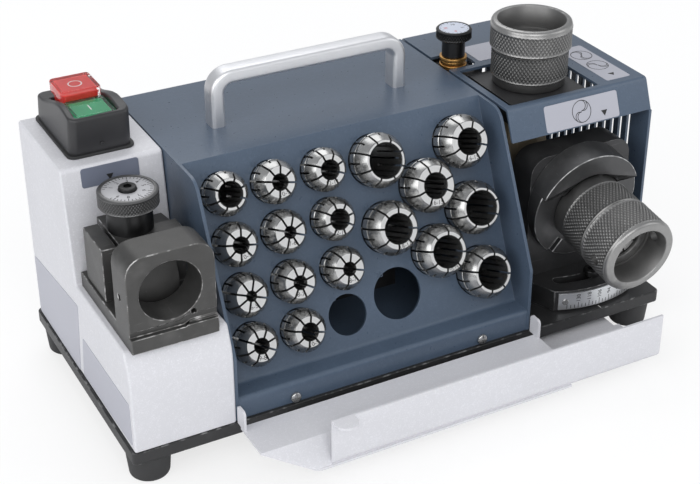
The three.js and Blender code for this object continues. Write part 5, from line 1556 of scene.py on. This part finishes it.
class GRINDER_OT_point_port(bpy.types.Operator):
    """Swivelling arc plate with its scale, clamp screw, upright block and tilted disc"""

    bl_idname = "grinder.point_port"
    bl_label = "Point port"

    def execute(self, context):
        scene = context.scene
        edge = scene.grinder_edges.steel
        # The swivel parts' bevels carry a painted edge highlight.
        looks = {"edge": edge, "lightened": "port_edge"}
        x, y, low, high = swivel.x, swivel.y, CLEAR, CLEAR + swivel.thickness
        front = arc(x, y, swivel.radius, 270 - swivel.sweep, 270 + swivel.sweep, swivel.steps)
        shape = np.concatenate([front, [
            (x + swivel.half, swivel.shoulder), (x + swivel.half, swivel.back),
            (x - swivel.half, swivel.back), (x - swivel.half, swivel.shoulder)]])
        sweep, steps = swivel.slot_sweep, swivel.slot_steps
        end_angle = np.degrees(swivel.slot_half / swivel.slot)
        ends = [np.radians(270 + side * (sweep - end_angle)) for side in (-1, 1)]
        near = [(x + swivel.slot * np.cos(t), y + swivel.slot * np.sin(t)) for t in ends]
        slot = np.concatenate([
            arc(x, y, swivel.slot + swivel.slot_half, 270 - sweep + end_angle, 270 + sweep - end_angle,
                steps),
            arc(*near[1], swivel.slot_half, 270 + sweep, 450 + sweep)[1:-1],
            arc(x, y, swivel.slot - swivel.slot_half, 270 + sweep - end_angle, 270 - sweep + end_angle,
                steps),
            arc(*near[0], swivel.slot_half, 90 - sweep, 270 - sweep)[1:-1]])
        make("swivel_plate", prism(shape, "z", low, high, [slot]), "swivel", "port_black",
             stands_for="swivel_base", **looks)
        self.scale(x, y, low)
        head_low = high + CLEAR
        bolt = rounded([
            (0, 0), (clamp.shank, 0), (clamp.shank, head_low), (clamp.head, head_low),
            (clamp.head, head_low + clamp.head_height, clamp.head_edge),
            (0, head_low + clamp.head_height)], 3)
        key = prism(circle(0, 0, clamp.socket, HEXAGON), "z",
                    head_low + clamp.head_height - clamp.socket_depth, head_low + BEYOND * 2)
        spot = arc(x, y, swivel.slot, 270 + clamp.angle, 270 + clamp.angle, 1)[0]
        make("clamp_bolt", laid(cut(turned(bolt), key), (*spot, 0)), "clamp_screw", "knob_black",
             stands_for="swivel_clamp_screw", soft=40)
        self.upright(looks, high)
        return {"FINISHED"}

    def scale(self, x, y, low):
        inner = swivel.radius + scale.gap
        outer = swivel.radius + CLEAR + scale.thickness
        foot_at = low + scale.foot
        left, right = 270 - scale.sweep_left, 270 + scale.sweep_right
        strip = np.concatenate([
            arc(x, y, outer, left, right, scale.steps), arc(x, y, inner, right, left, scale.steps)])
        make("scale_strip", prism(strip, "z", foot_at, foot_at + scale.height), "swivel", "scale_plate",
             edge=scale.edge, stands_for="angle_scale")
        marks = []

        def wrapped(solid, angle, rise):
            """Flat marks bent onto the strip: x becomes an angle, z a distance off it."""
            spots = solid[0]
            turn = np.radians(270 + angle) + spots[:, 0] / outer
            reach = outer + spots[:, 2]
            return np.column_stack([
                x + reach * np.cos(turn), y + reach * np.sin(turn), foot_at + rise + spots[:, 1]]), solid[1]
        for step in range(scale.first, scale.last + 1):
            length = scale.tick_short if step % 3 else scale.tick_long
            tick = block(-scale.stroke / 2, scale.stroke / 2, 0, length, 0, scale.mark)
            marks.append(wrapped(tick, scale.index + step * scale.degree, scale.tick_up))
        for words, angle in scale_figures.items():
            figure = spun(lettering(words, scale.figure, scale.mark), 90)
            marks.append(wrapped(figure, angle, scale.figure_up))
        make("scale_marks", together(*marks), "swivel", "ink")
        head = rounded([
            (0, -scale.screw_root), (scale.screw, -scale.screw_root),
            (scale.screw, scale.screw_rise, scale.screw_edge), (0, scale.screw_rise)], 3)
        turn = np.radians(270 + scale.screw_sweep)
        ahead = np.array([np.cos(turn), np.sin(turn), 0])
        spot = np.array([x, y, foot_at + scale.height / 2]) + ahead * outer
        nick = block(-scale.slot / 2, scale.slot / 2, -scale.screw, scale.screw, scale.slot_foot, BEYOND)
        shape = cut(turned(head, COARSE), nick)
        make("scale_screw", laid(shape, spot, np.cross([0, 0, 1], ahead), (0, 0, 1)), "swivel",
             "bright_steel")

    def upright(self, looks, high):
        bore = grip.nose + grip.gap
        outline = rounded([
            (bracket.left, high), (bracket.right, high), (bracket.right, bracket.top, bracket.corner),
            (bracket.left, bracket.top, bracket.corner)], bracket.steps)
        borer = prism(circle(0, 0, bore, FINE), "z", -base.depth / 2, base.depth / 2)
        make("bracket_block", cut(prism(outline, "y", bracket.front, bracket.back), tilted(borer)),
             "swivel", "port_black", stands_for="swivel_bracket", **looks)
        tool = spun(block(cam.slot_inner, cam.radius + BEYOND, -cam.slot_width / 2, cam.slot_width / 2,
                          -cam.slot_depth, BEYOND), cam.slot_angle)
        room = prism(circle(0, 0, front_chuck.foot + grip.gap, FINE), "z", 0, 2 * cam.moon)
        wide = 2 * cam.radius
        behind = block(axis.x - wide, axis.x + wide, bracket.front - cam.skim, bracket.front + wide,
                       axis.height - wide, axis.height + wide)
        below = block(-wide, wide, -wide, cam.chord, 0, cam.moon + BEYOND)
        disc = prism(circle(0, 0, cam.radius, FINE), "z", -wide, cam.moon)
        disc = cut(tilted(cut(disc, borer, tool, room, below)), behind)
        # The disc's bevels carry a brighter painted edge highlight.
        looks["lightened"] = "disc_edge"
        make("disc_with_moon", disc, "swivel", "disc_steel", stands_for="cam_disc", clamped=False, **looks)


class GRINDER_OT_drive(bpy.types.Operator):
    """Motor, shaft, wheel and the nut that holds it"""

    bl_idname = "grinder.drive"
    bl_label = "Drive"

    def execute(self, context):
        at = np.array([0, motor.y, motor.height])

        def across(profile, count=MEDIUM):
            return laid(turned(profile, count), at, (0, 1, 0), (0, 0, 1))
        inner = shaft.radius + CLEAR
        shell = rounded([
            (0, motor.left), (motor.bell_radius, motor.left, motor.bell_edge),
            (motor.radius, motor.left + motor.bell, motor.body_edge),
            (motor.radius, motor.right, motor.body_edge), (motor.nose, motor.right),
            (motor.nose, motor.end, motor.nose_edge),
            (inner, motor.end), (inner, motor.end - motor.bore_depth), (0, motor.end - motor.bore_depth)])
        make("motor_shell", across(shell), "root", "motor_grey", stands_for="motor")
        start = motor.end - motor.bore_depth + CLEAR
        spindle = rounded([
            (0, start), (shaft.radius, start), (shaft.radius, shaft.collar_left),
            (shaft.collar, shaft.collar_left, shaft.collar_edge),
            (shaft.collar, shaft.collar_right, shaft.collar_edge),
            (shaft.radius, shaft.collar_right), (shaft.radius, shaft.end, shaft.edge), (0, shaft.end)], 3)
        make("spindle_shaft", across(spindle), "spindle", "bright_steel", stands_for="motor_shaft")
        middle = (wheel.left + wheel.right) / 2
        grit = rounded([
            (inner, wheel.left), (wheel.face, wheel.left, wheel.edge),
            (wheel.radius, middle - wheel.land / 2, wheel.edge),
            (wheel.radius, middle + wheel.land / 2, wheel.edge), (wheel.face, wheel.right, wheel.edge),
            (wheel.recess, wheel.right, wheel.edge), (wheel.recess, wheel.right - wheel.recess_depth),
            (inner, wheel.right - wheel.recess_depth)], 3)
        make("wheel_grit", across(grit, FINE), "spindle", "grit", stands_for="grinding_wheel")
        low = wheel.right - wheel.recess_depth + CLEAR
        hexagon = prism(circle(0, 0, nut.radius, HEXAGON), "z", low, low + nut.height,
                        [circle(0, 0, inner, COARSE)[::-1]])
        make("wheel_fixing", laid(hexagon, at, (0, 1, 0), (0, 0, 1)), "spindle", "bright_steel",
             edge=nut.edge, stands_for="wheel_nut")
        for node in ("motor_bracket", "bulkhead"):
            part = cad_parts[node]
            part.data.materials.clear()
            part.data.materials.append(bpy.data.materials["base_black"])
        return {"FINISHED"}


class GRINDER_OT_tray(bpy.types.Operator):
    """Chip tray of folded sheet"""

    bl_idname = "grinder.tray"
    bl_label = "Chip tray"

    def execute(self, context):
        scene = context.scene
        t = tray.sheet
        shelf = sheet_outline([
            (tray.shelf_back, tray.shelf_top - t), (tray.shelf_front, tray.shelf_top - t),
            (tray.front + t, tray.floor), (tray.front, tray.floor)][::-1], t)
        trough = sheet_outline([
            (tray.front, tray.wall_top), (tray.front, tray.floor), (tray.shelf_back, tray.floor)], t,
            tray.bend)
        tuck = sheet_outline([
            (tray.front + 2 * tray.bend, tray.floor), (tray.tuck_back, tray.floor),
            (tray.tuck_back, -base.thickness - CLEAR)], t)
        corner = prism([
            (tray.left - BEYOND, tray.shelf_front), (tray.left, tray.shelf_front),
            (tray.slope_left, tray.front - t), (tray.left - BEYOND, tray.front - t)][::-1],
            "z", tray.floor - BEYOND, tray.wall_top + BEYOND)
        ear = rounded([
            (tray.ear_front, tray.shelf_top - t), (tray.shelf_back, tray.shelf_top - t),
            (tray.shelf_back, 0), (tray.ear_back, 0), (tray.ear_back, tray.ear_top, tray.ear_corner),
            (tray.ear_front, tray.ear_top, tray.ear_corner)])
        middle = (tray.tab_left + tray.tab_right) / 2
        tab = prism(np.concatenate([
            [(tray.tab_right, tray.front + t / 2), (tray.tab_left, tray.front + t / 2)],
            arc(middle, tray.front - tray.tab_reach / 3, (tray.tab_right - tray.tab_left) / 2, 180, 360,
                tray.tab_steps)]), "z", tray.wall_top - t, tray.wall_top)
        pan = join(
            cut(prism(shelf, "x", tray.left, tray.shelf_right), corner),
            prism(trough, "x", tray.wall_left, tray.right),
            prism(tuck, "x", tray.tuck_left, tray.tuck_right),
            prism(ear, "x", tray.left, tray.left + t),
            prism(ear, "x", tray.shelf_right - t, tray.shelf_right), tab)
        make("tray_pan", pan, "chip_tray", "tray_coat", edge=scene.grinder_edges.sheet * tray.edge_share,
             segments=3, soft=28, stands_for="chip_tray")
        return {"FINISHED"}


class GRINDER_OT_stage(bpy.types.Operator):
    """Pale floor, soft lamps and the camera"""

    bl_idname = "grinder.stage"
    bl_label = "Stage"

    def execute(self, context):
        scene = context.scene
        settings = scene.grinder_stage
        scene.view_settings.view_transform = "Standard"
        self.floor(settings)
        self.world(scene)
        for name, (spot, size, share) in LAMPS.items():
            lamp = bpy.data.lights.new(name, "AREA")
            lamp.energy, lamp.size = settings.key * share, size
            holder = bpy.data.objects.new(name, lamp)
            holder.location = spot
            holder.rotation_euler = (-Vector(spot)).to_track_quat("-Z", "Y").to_euler()
            scene.collection.objects.link(holder)
        a, e = settings.azimuth, settings.elevation
        toward = np.array([np.sin(a) * np.cos(e), -np.cos(a) * np.cos(e), np.sin(e)])
        right = np.array([np.cos(a), np.sin(a), 0])
        up = np.cross(toward, right)
        camera = bpy.data.cameras.new("camera")
        camera.sensor_width, camera.lens = view.sensor, view.lens
        camera.shift_x, camera.shift_y = view.shift_x, view.shift_y
        camera.clip_start, camera.clip_end = view.near, view.far
        holder = bpy.data.objects.new("camera", camera)
        spot = view.spot
        holder.matrix_world = Matrix((
            (right[0], up[0], toward[0], spot[0]), (right[1], up[1], toward[1], spot[1]),
            (right[2], up[2], toward[2], spot[2]), (0, 0, 0, 1)))
        scene.collection.objects.link(holder)
        scene.camera = holder
        return {"FINISHED"}

    def floor(self, settings):
        finish = Finish("floor")
        rays = finish.node("ShaderNodeLightPath", output="Is Camera Ray")
        paper = finish.node("ShaderNodeBsdfDiffuse", sockets={"Color": (*settings.floor, 1)})
        glow = finish.node("ShaderNodeEmission", sockets={"Color": (1, 1, 1, 1), "Strength": 1.0})
        mixed = finish.node("ShaderNodeMixShader", sockets={
            0: rays * studio.floor_glow_share, 1: paper, 2: glow})
        finish.node("ShaderNodeOutputMaterial", sockets={"Surface": mixed})
        reach = studio.floor_reach
        mesh = bpy.data.meshes.new("floor")
        mesh.from_pydata([(-reach, -reach, 0), (reach, -reach, 0), (reach, reach, 0), (-reach, reach, 0)],
                         [], [(0, 1, 2, 3)])
        mesh.materials.append(finish.owner)
        ground = bpy.data.objects.new("floor", mesh)
        bpy.context.scene.collection.objects.link(ground)

    def world(self, scene):
        """White where the camera sees it, itself or through a clear cap; soft light elsewhere."""
        scene.world = bpy.data.worlds.new("studio")
        sky = Finish("studio", scene.world)
        seen = sky.node("ShaderNodeMath", {"operation": "MAXIMUM"}, {
            0: sky.node("ShaderNodeLightPath", output="Is Camera Ray"),
            1: sky.node("ShaderNodeLightPath", output="Is Transmission Ray")})
        soft = sky.node("ShaderNodeBackground", sockets={
            "Color": (*studio.sky, 1), "Strength": studio.sky_strength})
        white = sky.node("ShaderNodeBackground", sockets={"Color": (1, 1, 1, 1), "Strength": 1.0})
        mixed = sky.node("ShaderNodeMixShader", sockets={0: seen, 1: soft, 2: white})
        sky.node("ShaderNodeOutputWorld", sockets={"Surface": mixed})


OPERATORS = (
    GRINDER_OT_base, GRINDER_OT_housing, GRINDER_OT_switch, GRINDER_OT_gauge, GRINDER_OT_rack,
    GRINDER_OT_handle, GRINDER_OT_collets, GRINDER_OT_hood, GRINDER_OT_web_port, GRINDER_OT_chucks,
    GRINDER_OT_point_port, GRINDER_OT_drive, GRINDER_OT_tray, GRINDER_OT_stage)


class GRINDER_PT_tools(bpy.types.Panel):
    """Lists the grinder's settings and operators"""

    bl_idname = "GRINDER_PT_tools"
    bl_label = "Drill bit grinder"
    bl_space_type = "VIEW_3D"
    bl_region_type = "UI"
    bl_category = "Grinder"

    def draw(self, context):
        for group, kind in GROUPS.items():
            for name in kind.__annotations__:
                self.layout.prop(getattr(context.scene, group), name)
        for operator in OPERATORS:
            self.layout.operator(operator.bl_idname)


def register():
    for kind in (*GROUPS.values(), *OPERATORS, GRINDER_PT_tools):
        bpy.utils.register_class(kind)
    for group, kind in GROUPS.items():
        setattr(bpy.types.Scene, group, PointerProperty(type=kind))


def unregister():
    for group in GROUPS:
        delattr(bpy.types.Scene, group)
    for kind in (GRINDER_PT_tools, *OPERATORS[::-1], *list(GROUPS.values())[::-1]):
        bpy.utils.unregister_class(kind)


def main():
    register()
    make_finishes()
    for operator in OPERATORS:
        group, name = operator.bl_idname.split(".")
        getattr(getattr(bpy.ops, group), name)()


if __name__ == "__main__":
    main()
